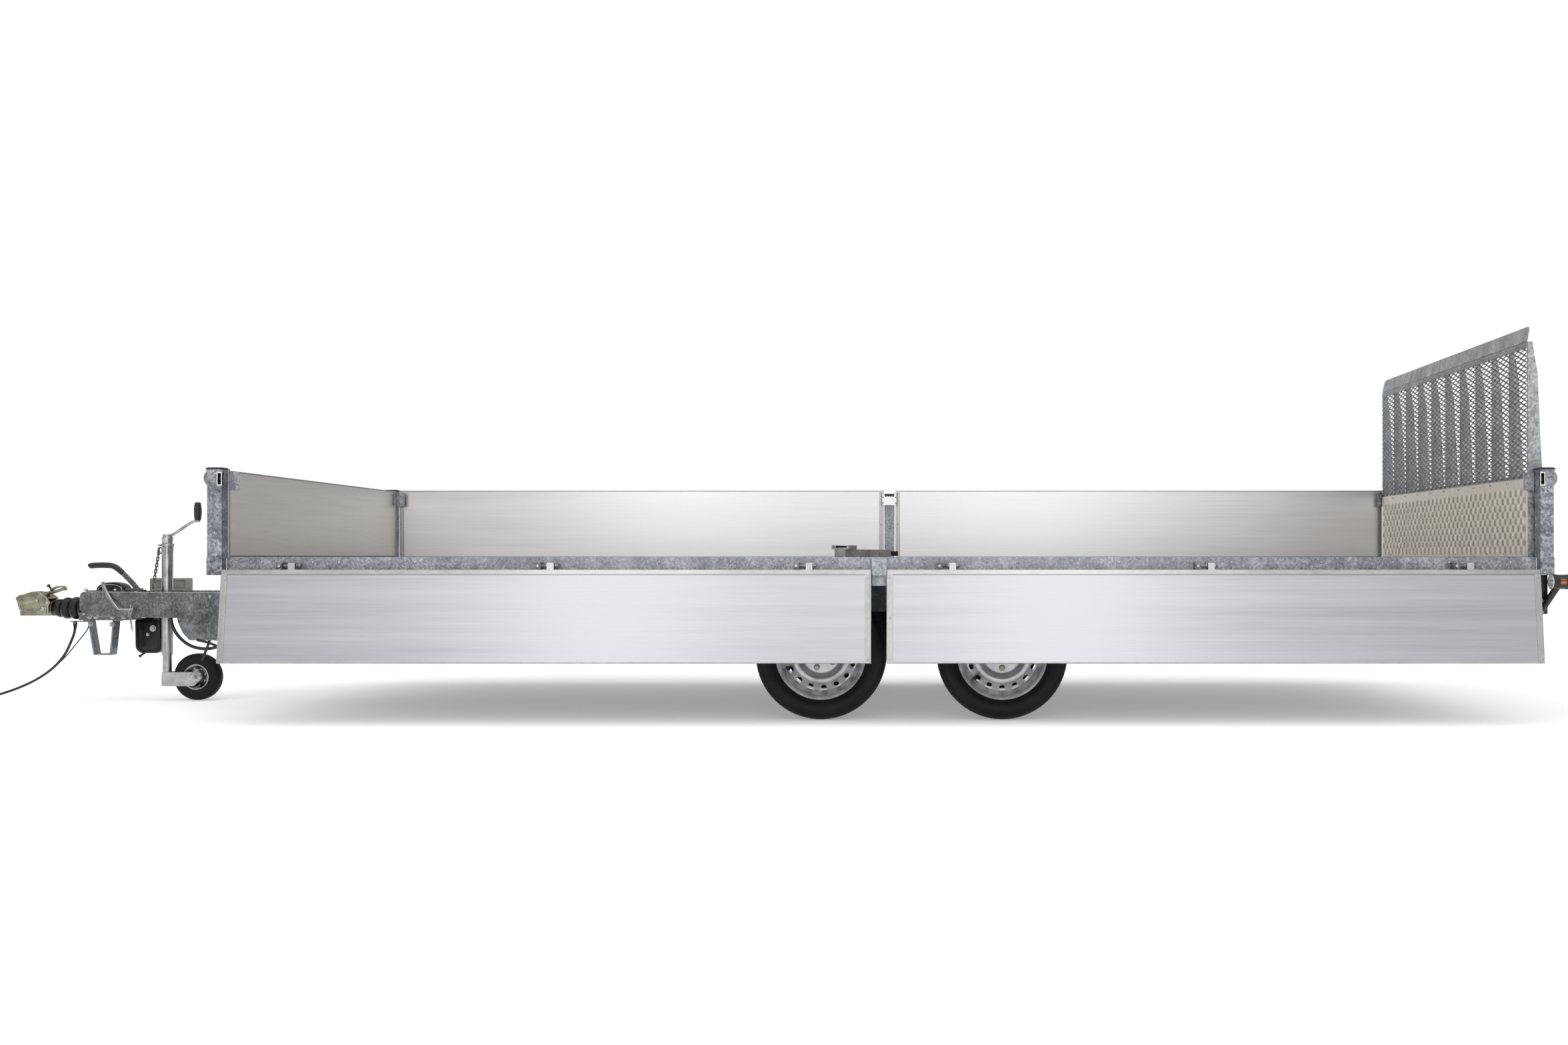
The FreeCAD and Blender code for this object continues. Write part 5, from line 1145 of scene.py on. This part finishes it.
def build_handbrake():
    """Cranked flat bar with a black grip whose end droops a little; a black cover over the linkage with a
    bright arc on its face as painted highlight, and the bright bent rod with its clip and chain."""
    y = -0.055
    grip = smooth_path([(0.2965, y, 0.188), (0.304, y, 0.1935), (0.33, y, 0.1955), (0.362, y, 0.196),
                        (0.394, y, 0.195), (0.414, y, 0.188), (0.432, y, 0.174), (0.449, y, 0.159)], 8)
    share = np.linspace(0, 1, len(grip))
    size = np.interp(share, [0, 0.03, 0.1, 0.5, 0.62, 0.8, 0.97, 1.0],
                     [0.35, 0.8, 1.0, 1.0, 0.95, 0.95, 0.9, 0.8])
    sleeve = swept(grip, rounded(0.027, 0.0255, 0.0108, 5), (0, 1, 0), size)
    piece("handbrake_grip", sleeve, BLACK_PLASTIC, "lever_black", "handbrake", smooth=50)
    bar = smooth_path([(0.436, y, 0.171), (0.47, y, 0.138), (0.5, y, 0.106), (0.522, y, 0.076)], 6)
    blade = swept(bar, rounded(0.01, 0.021, 0.0016), (0, 1, 0))
    eye = spun([(-0.0066, 0.017), (0.0066, 0.017)], (PIVOT_X, y, PIVOT_Z), (0, 1, 0), 28)
    piece("handbrake_bar", [blade, eye], DRAWBAR_ZINC, "zinc_plated", "handbrake", ["handbrake_lever"],
          bevel=0.0006)
    cap = bolt((PIVOT_X, -0.0735, PIVOT_Z), (0, -1, 0), 0.008, 0.005)
    piece("handbrake_pivot_bolt", cap, BRIGHT_ZINC, "zinc_plated")

    rise = np.linspace(0, math.pi, 22)
    outline = np.stack([0.383 - 0.066 * np.cos(rise), 0.0765 + 0.042 * np.sin(rise) ** 0.75], 1)
    cover = cast_cheek(outline, -0.04, 0.03, 0.012)
    piece("linkage_cover", cover, BLACK_ENAMEL_AND_SLOT_SHADE, "black_plastic", smooth=50)
    # A bright bar along the cover's face paints its highlight.
    highlight_arc = np.stack([0.383 - 0.054 * np.cos(rise), np.full(22, -0.0405),
                     0.0775 + 0.03 * np.sin(rise) ** 0.75], 1)
    piece("linkage_cover_highlight", tube(highlight_arc, 0.0022), BRIGHT_ZINC, "zinc_plated")

    rod = smooth_path([(0.372, -0.084, 0.112), (0.383, -0.1, 0.11), (0.395, -0.118, 0.098),
                       (0.43, -0.15, 0.062), (0.466, -0.166, 0.022), (0.486, -0.174, 0.004),
                       (0.5, -0.178, 0.001), (0.53, -0.184, 0.001), (0.552, -0.19, 0.001)], 8)
    flat = np.interp(np.linspace(0, 1, len(rod)), [0, 0.1, 0.4, 0.5, 1.0], [0.9, 1.25, 1.2, 0.75, 0.75])
    shapes = [swept(rod, rounded(0.01, 0.013, 0.0035), (0, 1, 0), flat),
              spun([(-0.004, 0.01), (0.004, 0.01)], (0.376, -0.088, 0.112), (0.5, 0.86, 0), 20),
              spun([(0, 0.0085), (0.004, 0.0085), (0.004, 0.0052), (0.012, 0.0052)], (0.551, -0.19, 0.001),
                   (1, 0, 0), 16)]
    piece("relay_rod", shapes, BRIGHT_ZINC, "zinc_plated", bevel=0.0006)
    clip = smooth_path([(0.548, -0.19, 0.02), (0.556, -0.19, 0.012), (0.548, -0.19, -0.004),
                        (0.54, -0.19, -0.014), (0.551, -0.19, -0.02), (0.558, -0.19, -0.01),
                        (0.56, -0.19, 0.01)], 6)
    piece("rod_spring_clip", tube(clip, 0.0016, sides=8), BRIGHT_ZINC, "zinc_plated")
    piece("rod_chain", chain((0.547, -0.19, -0.02), (0.54, -0.15, -0.096), 9, 0.0125, 0.0013), BRIGHT_ZINC,
          "zinc_plated")


def build_drawbar_details():
    """Bolts along the housing and the beams and at the stirrup's feet, and bright bars along the beams'
    top edges as painted highlight.
    """
    bolts = [bolt((x, side * 0.062, -0.036), (0, side, 0), 0.0085, 0.006)
             for x in (0.3, 0.33, 0.405, 0.455) for side in SIDES]
    for x in (0.296, 0.38, 0.428):
        for side in SIDES:
            bolts.append(bolt((x, side * 0.088, -0.019), (0, 0, -1), 0.009, 0.007))
            bolts.append(bolt((x, side * 0.084, 0.082), (0, 0, 1), 0.008, 0.006))
    bolts += [bolt((x, -0.0292, -0.072), (0, -1, 0), 0.008, 0.005) for x in (0.288, 0.386)]
    bolts += [button((x, -beam_side(x, 0.0242), z), (-0.27, -0.96, 0), 0.0085, 0.005, hexagon=True)
              for x, z in ((0.95, 0.06), (1.1, 0.036), (1.22, 0.01))]
    piece("drawbar_bolts", bolts, BRIGHT_ZINC, "zinc_plated")
    # Bright bars along the beams' top edges paint the highlight on those edges.
    x = np.linspace(0.3, 1.235, 160)
    edges = [tube(np.stack([x, side * beam_side(x, 0.0215), np.full(160, 0.0752)], 1), 0.0022, sides=8)
             for side in SIDES]
    piece("beam_top_edge_highlights", edges, WELD_ZINC_AND_HIGHLIGHT, "drawbar_steel", smooth=60)


def build_lower_lips():
    """The beams' lower lips on their outer faces, and the cable stirrup with its wide flat bar."""
    shapes = []
    for side in SIDES:
        rows = []
        for x in (0.3, 0.8, 1.27):
            outer = beam_side(x, 0.0243)
            lip = [(outer - 0.03, -0.03), (outer - 0.004, -0.036), (outer, -0.033), (outer, -0.006),
                   (outer - 0.005, -0.006), (outer - 0.006, -0.029), (outer - 0.03, -0.027)]
            rows.append([(x, side * y, z) for y, z in lip])
        shapes.append(capped(np.array(rows)))
    piece("beam_lower_lips", shapes, DRAWBAR_ZINC, "drawbar_steel", bevel=0.0008)
    hoop = [(0.274, -0.053), (0.3, -0.213), (0.379, -0.213), (0.395, -0.053),
            (0.388, -0.053), (0.373, -0.207), (0.306, -0.207), (0.281, -0.053)]
    feet = [block(x0, x1, -0.029, 0.029, -0.058, -0.053) for x0, x1 in ((0.262, 0.283), (0.386, 0.41))]
    piece("stirrup_hoop", [prism(hoop, "xz", -0.029, 0.029), *feet], FRAME_ZINC, "galvanised_frame",
          stands_for=["cable_stirrup"], bevel=0.0015)


def build_box_and_chock():
    """Lid, rim and face panel of the stowage box; the chock's body, rim, bolt and toggle."""
    low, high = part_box("stowage_box")
    middle = ((low.x + high.x) / 2, (low.z + high.z) / 2)
    wide, tall = high.x - low.x, high.z - low.z
    rim = flat_frame(rounded(wide + 0.002, tall + 0.002, 0.006, centre=middle),
                     rounded(wide - 0.016, tall - 0.016, 0.004, centre=middle), low.y - 0.0025,
                     low.y + 0.002)
    panel = prism(rounded(wide - 0.026, tall - 0.026, 0.004, centre=middle), "xz", low.y + 0.0015,
                  low.y + 0.0045)
    lid = prism(rounded(wide + 0.003, high.y - low.y + 0.003, 0.006,
                        centre=(middle[0], (low.y + high.y) / 2)), "xy", high.z - 0.006, high.z + 0.0016)
    piece("stowage_box_lid", [rim, panel, lid], GREY_PLASTIC, "grey_plastic", bevel=0.0014)

    outline = [(0.416, -0.062), (0.426, -0.05), (0.526, -0.05), (0.536, -0.062)]
    turn = np.linspace(0, -math.pi / 2, 8)
    outline += [(0.508 + 0.029 * math.cos(a), -0.184 + 0.029 * math.sin(a)) for a in turn]
    turn = np.linspace(-math.pi / 2, -math.pi, 8)
    outline += [(0.454 + 0.036 * math.cos(a), -0.177 + 0.036 * math.sin(a)) for a in turn]
    body = cast_cheek(outline, 0.111, 0.169, 0.008)
    piece("chock_body", body, BLACK_ENAMEL_AND_SLOT_SHADE, "black_plastic", stands_for=["wheel_chock"], smooth=50)
    outline = drawn_in(outline, np.mean(outline, 0), 0.8)
    ring = np.stack([outline[:, 0], np.full(len(outline), 0.1105), outline[:, 1]], 1)
    hanger = prism(rounded(0.03, 0.02, 0.003, centre=(0.476, 0.134)), "xy", -0.056, -0.008)
    piece("chock_rim", [closed_ring(ring, 0.0024, (0, 1, 0)), hanger], BLACK_ENAMEL_AND_SLOT_SHADE, "black_plastic")
    knob = bolt((0.502, 0.1105, -0.098), (0, -1, 0), 0.01, 0.008)
    clip = bolt((0.478, 0.1105, -0.126), (0, -1, 0), 0.005, 0.004)
    piece("chock_bolt", [knob, clip], BRIGHT_ZINC, "zinc_plated")
    toggle = [tube(smooth_path([(0.47, 0.118, -0.205), (0.452, 0.116, -0.218), (0.44, 0.114, -0.226)], 6),
                   0.0045), button((0.44, 0.114, -0.226), (-0.8, 0, -0.5), 0.008, 0.004)]
    piece("chock_toggle", toggle, BLACK_PLASTIC, "black_plastic")


def build_hanging_straps():
    """Black straps and a looped hose under the stays."""
    y = -0.262
    strap = [(0.936, y, -0.128), (0.93, y, -0.15), (0.914, y, -0.19), (0.9, y, -0.222)]
    strap = swept(smooth_path(strap, 6), rounded(0.003, 0.012, 0.0013), (0, 1, 0))
    loop = smooth_path([(0.88, y, -0.132), (0.93, y, -0.142), (0.985, y, -0.166), (1.04, y, -0.184),
                        (1.1, y, -0.186), (1.16, y, -0.172), (1.2, y, -0.14)], 8)
    hose = tube(loop, 0.0055, sides=10)
    drop = swept(smooth_path([(1.05, y - 0.004, -0.128), (1.054, y - 0.004, -0.16),
                              (1.056, y - 0.004, -0.188)], 6), rounded(0.006, 0.02, 0.0025), (0, 1, 0))
    clamp = spun([(-0.012, 0.012), (0.012, 0.012)], (1.052, y, -0.186), (1, 0, 0.1), 20)
    piece("stay_straps", [strap, drop, clamp], BLACK_PLASTIC, "black_plastic", bevel=0.0006)
    piece("brake_hose", hose, CABLE_SHEATH, "cable_sheath", smooth=60)


# ---- jockey wheel ------------------------------------------------------------------------------
JOCKEY_X = 0.623
CRANK_X = 0.761                # crank handle's axis
JOCKEY_HUB = (0.765, 0, -0.312)


def build_jockey():
    """Collars and adjusting notches on the outer tube, the crank, the fork's bolt, and the wheel."""
    axis, tube_r = (0, 0, 1), 0.024
    collar = [turned([(0, tube_r - 0.001), (0, tube_r + 0.004), (0.01, tube_r + 0.004),
                      (0.012, tube_r + 0.002), (0.012, tube_r - 0.001)], (JOCKEY_X, 0, 0.281), axis, 40,
                     closed=True), turned([(0, tube_r - 0.001), (0, tube_r + 0.0014),
                                           (0.016, tube_r + 0.0014), (0.018, tube_r - 0.001)],
                                          (JOCKEY_X, 0, 0.262), axis, 40, closed=True)]
    # Notches pressed into the tube for the clamp are drawn as dark spots, all but flush: painted shade in the
    # notches.
    lean = np.array([-0.62, -0.785, 0])
    base = np.array([JOCKEY_X, 0, 0]) + lean * (tube_r - 0.0003)
    heights = np.concatenate([np.arange(0.088, 0.172, 0.0094), np.arange(-0.196, -0.004, 0.0094)])
    notches = [button(base + (0, 0, z), lean, 0.0032, 0.00034, steps=10) for z in heights]
    piece("jockey_notches", notches, PAINTED_SHADE_CHASSIS_ZINC, "zinc_plated", "jockey_outer")
    ear = prism([(0.598, 0.283), (0.584, 0.281), (0.582, 0.289), (0.598, 0.292)], "xz", -0.006, 0.006)
    collar.append(ear)
    piece("jockey_collars", collar, BRIGHT_ZINC, "zinc_plated", "jockey_outer", smooth=40)
    hanging = [chain((0.588, -0.004, 0.272), (0.572, -0.03, 0.092), 13, 0.0175, 0.0022),
               closed_ring(np.array([(0.59 + 0.01 * math.cos(a), -0.002, 0.262 + 0.014 * math.sin(a))
                                     for a in whole_turn(20)]), 0.0024, (0, 1, 0))]
    piece("safety_chain", hanging, DRAWBAR_ZINC, "zinc_plated", "jockey_outer")

    arm = smooth_path([(JOCKEY_X - 0.016, 0, 0.326), (JOCKEY_X + 0.02, 0, 0.33), (0.69, 0, 0.362),
                       (0.728, 0, 0.388), (0.744, 0, 0.396), (0.768, 0, 0.398)], 6)
    shapes = [swept(arm, rounded(0.016, 0.012, 0.005), (0, 1, 0)),
              spun([(0, 0.0215), (0.004, 0.024), (0.028, 0.024), (0.03, 0.02), (0.04, 0.02),
                    (0.042, 0.0165)], (JOCKEY_X, 0, 0.2935), axis, 32),
              turned([(0, 0.0), (0, 0.006), (0.084, 0.006), (0.086, 0.009), (0.09, 0.009), (0.092, 0.0)],
                     (CRANK_X, 0, 0.392), axis, 20)]
    piece("crank_arm", shapes, BRIGHT_ZINC, "zinc_plated", "jockey_crank", ["jockey_crank"], bevel=0.0005)
    up = np.linspace(0, 1, 30)
    swell = 0.0135 + 0.0032 * np.sin(math.pi * up) - 0.001 * (np.abs(((up * 6) % 1) - 0.5) < 0.12)
    profile = [(0.399, 0.0), (0.399, 0.012), *zip(0.4 + 0.078 * up, swell), (0.48, 0.011), (0.48, 0.0)]
    piece("crank_grip", turned(profile, (CRANK_X, 0, 0), axis, 32), BLACK_PLASTIC, "black_plastic",
          "jockey_crank")

    shapes = []
    for side in SIDES:
        shapes.append(bolt((0.7645, side * 0.0362, -0.312), (0, side, 0), 0.0095, 0.006))
        shapes.append(cast_cheek(circle(0.026, 28) + (0.765, -0.3125), side * 0.0345, side * 0.0375, 0.001))
        shapes.append(spun([(0, 0.005), (0.002, 0.005)], (0.735, side * 0.0358, -0.312), (0, side, 0), 14))
    piece("jockey_fork_bolts", shapes, BRIGHT_ZINC, "zinc_plated", "jockey_fork")

    across = np.linspace(-1, 1, 25)
    crown = 0.1058 - 0.0165 * np.abs(across) ** 5
    outer = np.stack([0.0285 * across, crown], 1)
    bead = np.array([(0.0285, 0.082), (0.028, 0.064), (0.0262, 0.056), (0.0225, 0.051), (0.015, 0.049),
                     (-0.015, 0.049), (-0.0225, 0.051), (-0.0262, 0.056), (-0.028, 0.064),
                     (-0.0285, 0.082)])
    tyre = turned(np.concatenate([outer, bead]), JOCKEY_HUB, (0, 1, 0), 96, closed=True)
    piece("jockey_tyre", tyre, TYRE_RUBBER, "tyre_rubber", "jockey_wheel", smooth=45)
    disc = spun([(-0.0285, 0.014), (-0.022, 0.0165), (-0.015, 0.023), (-0.014, 0.035), (-0.0175, 0.0405),
                 (-0.0205, 0.046), (-0.0262, 0.0505), (-0.029, 0.0545), (-0.0284, 0.0575),
                 (-0.0255, 0.0545), (-0.01, 0.048), (0.01, 0.048), (0.0255, 0.0545), (0.0284, 0.0575),
                 (0.029, 0.0545), (0.0262, 0.0505), (0.0205, 0.046), (0.0175, 0.0405), (0.014, 0.035),
                 (0.015, 0.023), (0.022, 0.0165), (0.0285, 0.014)], JOCKEY_HUB, (0, 1, 0), 72)
    rivets = []
    x, _, z = JOCKEY_HUB
    for angle in np.arange(8) * math.pi / 4 + 0.3:
        rivets += [button((x + 0.0385 * math.cos(angle), side * 0.0158, z + 0.0385 * math.sin(angle)),
                          (0, side, 0), 0.0042, 0.0028) for side in SIDES]
    piece("jockey_rim", [disc] + rivets, BRIGHT_ZINC, "rim_silver", "jockey_wheel", ["jockey_wheel"],
          smooth=40)


# ---- lamps -------------------------------------------------------------------------------------
LAMP_OUT = 1.052               # end-outline lamp's axis
LAMP_Z = 0.136


def build_lamps():
    """Rear lens clusters, and the end-outline lamps with a clear front lens, an amber side window and a
    red rear lens on a black rubber stalk. A cluster lens is its outline drawn in towards its face, and
    the window is an arc about the lamp's own axis."""
    for side in SIDES:
        name = "near" if side < 0 else "far"
        for kind, finish, start_y, end_y in (("red", RED_LENS, 0.702, 0.752),
                                             ("amber", AMBER_LENS, 0.755, 0.806),
                                             ("clear", CLEAR_LENS, 0.809, 0.858)):
            outline = rounded(end_y - start_y, 0.058, 0.006, centre=(side * (start_y + end_y) / 2, 0.0745))
            rows = []
            for x, share in ((6.4545, 0.0), (6.4545, 1.0), (6.4585, 1.0), (6.4605, 0.95), (6.461, 0.8),
                             (6.461, 0.0)):
                drawn = drawn_in(outline, outline.mean(0), share)
                rows.append(np.stack([np.full(len(drawn), x), drawn[:, 0], drawn[:, 1]], 1))
            piece("%s_%s_lens" % (name, kind), surface(np.stack(rows), around_columns=True), finish,
                  "lamp_housing")
        name, y = name + "_outline_lamp_", side * LAMP_OUT
        front = spun([(-0.001, 0.024), (0.002, 0.0272), (0.004, 0.0285), (0.006, 0.0285)],
                     (6.5, y, LAMP_Z), (-1, 0, 0), 48)
        piece(name + "front", front, CLEAR_LENS, "lamp_housing")
        rear = turned([(0, 0.0), (0, 0.026), (0.0005, 0.0255), (0.001, 0.0)], (6.562, y, LAMP_Z), (1, 0, 0),
                      48)
        piece(name + "rear", rear, RED_LENS, "lamp_housing")
        x, a = np.meshgrid(np.linspace(6.523, 6.545, 9), np.linspace(-0.42, 0.42, 9), indexing="ij")
        outer, inner = [np.stack([x, y + side * radius * np.cos(a), LAMP_Z + radius * np.sin(a)], -1)
                        for radius in (0.0292, 0.0262)]
        piece(name + "side", shell_of(outer, inner), AMBER_LENS, "lamp_housing")
        band = [(0, 0.0275), (0, 0.0293), (0.003, 0.0293), (0.003, 0.0275)]
        bands = [turned(band, (x, y, LAMP_Z), (1, 0, 0), 48, closed=True) for x in (6.5065, 6.5145, 6.5545)]
        piece(name + "bands", bands, BLACK_PLASTIC, "lamp_housing")
        bolts = [bolt((6.478, side * 1.0045, z), (0, side, 0), 0.0065, 0.005) for z in (0.022, 0.06)]
        piece(name.replace("outline_lamp_", "lamp_bracket_bolts"), bolts, BRIGHT_ZINC, "zinc_plated")


# ---- stakes ------------------------------------------------------------------------------------
def build_stake_details():
    """On each removable middle stake: a bright sheet over the latch head, black teeth with a thin black sheet
    behind them as painted shade in the slot, and rivets; the near one also gets a black end on the tongue.
    Made for an upright near stake, then mirrored to the far side or laid down like the near one."""
    head = [block(3.85, 3.932, -0.9952, -0.9944, DECK + 0.27, DECK + 0.3285)]
    teeth = [block(3.8686 + 0.013 * step, 3.8764 + 0.013 * step, -0.9946, -0.9864, DECK + 0.3146,
                   DECK + 0.3254) for step in range(4)]
    # A thin black sheet behind the teeth paints the shade in the latch's slot.
    teeth.append(prism([(3.862, DECK + 0.3292), (3.92, DECK + 0.3292), (3.914, DECK + 0.321),
                        (3.9, DECK + 0.318), (3.882, DECK + 0.318), (3.868, DECK + 0.321)], "xz", -0.9946,
                       -0.9938))
    sleeve = [block(3.87, 3.912, -1.0268, -1.0072, DECK - 0.0655, DECK - 0.014)]
    rivets = [button((x, -0.9944, DECK + z), (0, 1, 0), 0.0042, 0.0018)
              for x, z in ((3.858, 0.281), (3.924, 0.281), (3.858, 0.312), (3.924, 0.312), (3.891, 0.15))]
    sets = [("head", head, WELD_ZINC_AND_HIGHLIGHT, "galvanised_posts"), ("teeth", teeth, BLACK_ENAMEL_AND_SLOT_SHADE,
                                                            "galvanised_posts"),
            ("rivets", rivets, BRIGHT_ZINC, "zinc_plated"), ("tongue_end", sleeve, BLACK_ENAMEL_AND_SLOT_SHADE,
                                                             "galvanised_posts")]
    mesh = NODES["stake_far"].data
    upright = np.empty(len(mesh.vertices) * 3, np.float32)
    mesh.vertices.foreach_get("co", upright)
    upright = upright.reshape(-1, 3) * (1, -1, 1)
    laid = laid_down((upright, []))[0]
    low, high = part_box("stake_near")
    offset = (np.array(low) + np.array(high)) / 2 - (laid.min(0) + laid.max(0)) / 2
    for name, shapes, finish, slot in sets:
        shape = together(shapes)
        if name != "tongue_end":
            piece("far_stake_" + name, moved(shape, mirror=True), finish, slot, "stake_far")
        piece("near_stake_" + name, moved(laid_down(shape), offset=offset), finish, slot, "stake_near")


def laid_down(shape):
    """The upright near stake's shape tipped a quarter turn about x, then turned 32 degrees about z."""
    tipped = moved(shape, turn_matrix("x", 90), (STAKE_X, -1.032, DECK))
    return moved(tipped, turn_matrix("z", -32), (STAKE_X, 0, DECK))


def build_rib_flanges():
    """Each rib of the ramp is folded back along its rear edge, and a row of bright spots marks where the
    expanded sheet is welded to it."""
    low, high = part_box("ramp_frame")
    pitch = (high.y - low.y - 0.005) / 10
    flanges, spots = [], []
    for step in range(11):
        y = low.y + step * pitch
        if step < 10:
            edge = [(6.51, DECK + 0.058), (6.5128, DECK + 0.058), (6.4808, DECK + 0.726),
                    (6.478, DECK + 0.726)]
            flanges.append(prism(edge, "xz", y, y + 0.056))
        for z in np.arange(DECK + 0.3, DECK + 0.815, 0.022):
            spots.append((RAMP_FACE + 0.0004, y + 0.0025, z))
    piece("rib_flanges", flanges, RAMP_ZINC, "ramp_steel", "ramp", bevel=0.0006)
    spot = turned([(0, 0.0), (0, 0.0042), (0.0014, 0.0034), (0.0022, 0.0)], (0, 0, 0), (-1, 0, 0), 6)
    piece("mesh_weld_spots", copies(spot, spots), BRIGHT_ZINC, "zinc_plated", "ramp")


# ---- studio ------------------------------------------------------------------------------------
def softbox(name, place, aim, width, height, watts):
    """A rectangular soft lamp at a place, turned to face its aim."""
    light = bpy.data.lights.new(name, "AREA")
    light.shape, light.size, light.size_y, light.energy = "RECTANGLE", width, height, watts
    holder = bpy.data.objects.new(name, light)
    holder.location = place
    holder.rotation_euler = (Vector(aim) - Vector(place)).to_track_quat("-Z", "Y").to_euler()
    bpy.context.scene.collection.objects.link(holder)


def build_studio():
    """A pale floor, an even pale surround, two tall soft lamps in front and a wide one above."""
    made, tree, shader, place = start("pale_floor_paint")
    cloud = add(tree, "TexNoise", {"Vector": place, "Scale": 0.6, "Detail": 4.0})
    paint = add(tree, "ValToRGB", {"Fac": cloud.outputs["Fac"]},
                stops=((0.3, "#f6f6f5"), (0.7, "#fafafa")))
    add(tree, shader, {"Base Color": paint.outputs["Color"], "Roughness": 0.9,
                       "Emission Color": (1, 1, 1, 1), "Emission Strength": 0.28})
    mesh = bpy.data.meshes.new("floor")
    mesh.from_pydata([(-60, -60, GROUND), (60, -60, GROUND), (60, 60, GROUND), (-60, 60, GROUND)], [],
                     [(0, 1, 2, 3)])
    mesh.materials.append(made)
    floor = bpy.data.objects.new("floor", mesh)
    bpy.context.scene.collection.objects.link(floor)
    softbox("left_softbox", (1.5, -7.4, 1.5), (1.9, 0, 0.2), 1.0, 3.4, 36)
    softbox("right_softbox", (5.2, -7.4, 1.5), (4.8, 0, 0.2), 1.2, 3.4, 36)
    softbox("top_softbox", (3.9, 0.5, 5.0), (3.9, 0, 0), 7.0, 4.0, 50)
    sun = bpy.data.lights.new("even_light", "SUN")
    sun.energy, sun.angle = 1.55, math.radians(100)
    holder = bpy.data.objects.new("even_light", sun)
    holder.rotation_euler = (math.radians(28), 0, 0)
    bpy.context.scene.collection.objects.link(holder)
    world = bpy.data.worlds.new("pale_surround")
    world.use_nodes = True
    tree = world.node_tree
    tree.nodes.clear()
    seen = add(tree, "LightPath").outputs["Is Camera Ray"]
    strength = add(tree, "MapRange", {"Value": seen, "To Min": 0.5, "To Max": 1.02})
    shade = add(tree, "Background", {"Color": (1, 1, 1, 1), "Strength": strength})
    add(tree, "OutputWorld", {"Surface": shade.outputs["Background"]})
    bpy.context.scene.world = world
    bpy.context.scene.view_settings.view_transform = "Standard"


place_camera()
lay_cords()
finish_nodes()
for near_or_far in ("near", "far"):
    for front_or_rear in DROPSIDES:
        build_dropside(near_or_far, front_or_rear)
build_hinges()
build_frame_details()
build_headboard()
build_far_latch_plates()
build_mesh()
build_tread()
build_toe_trim()
build_wheels()
build_rib_flanges()
build_coupling()
build_boot()
build_handbrake()
build_drawbar_details()
build_lower_lips()
build_box_and_chock()
build_hanging_straps()
build_jockey()
build_lamps()
build_stake_details()
build_studio()
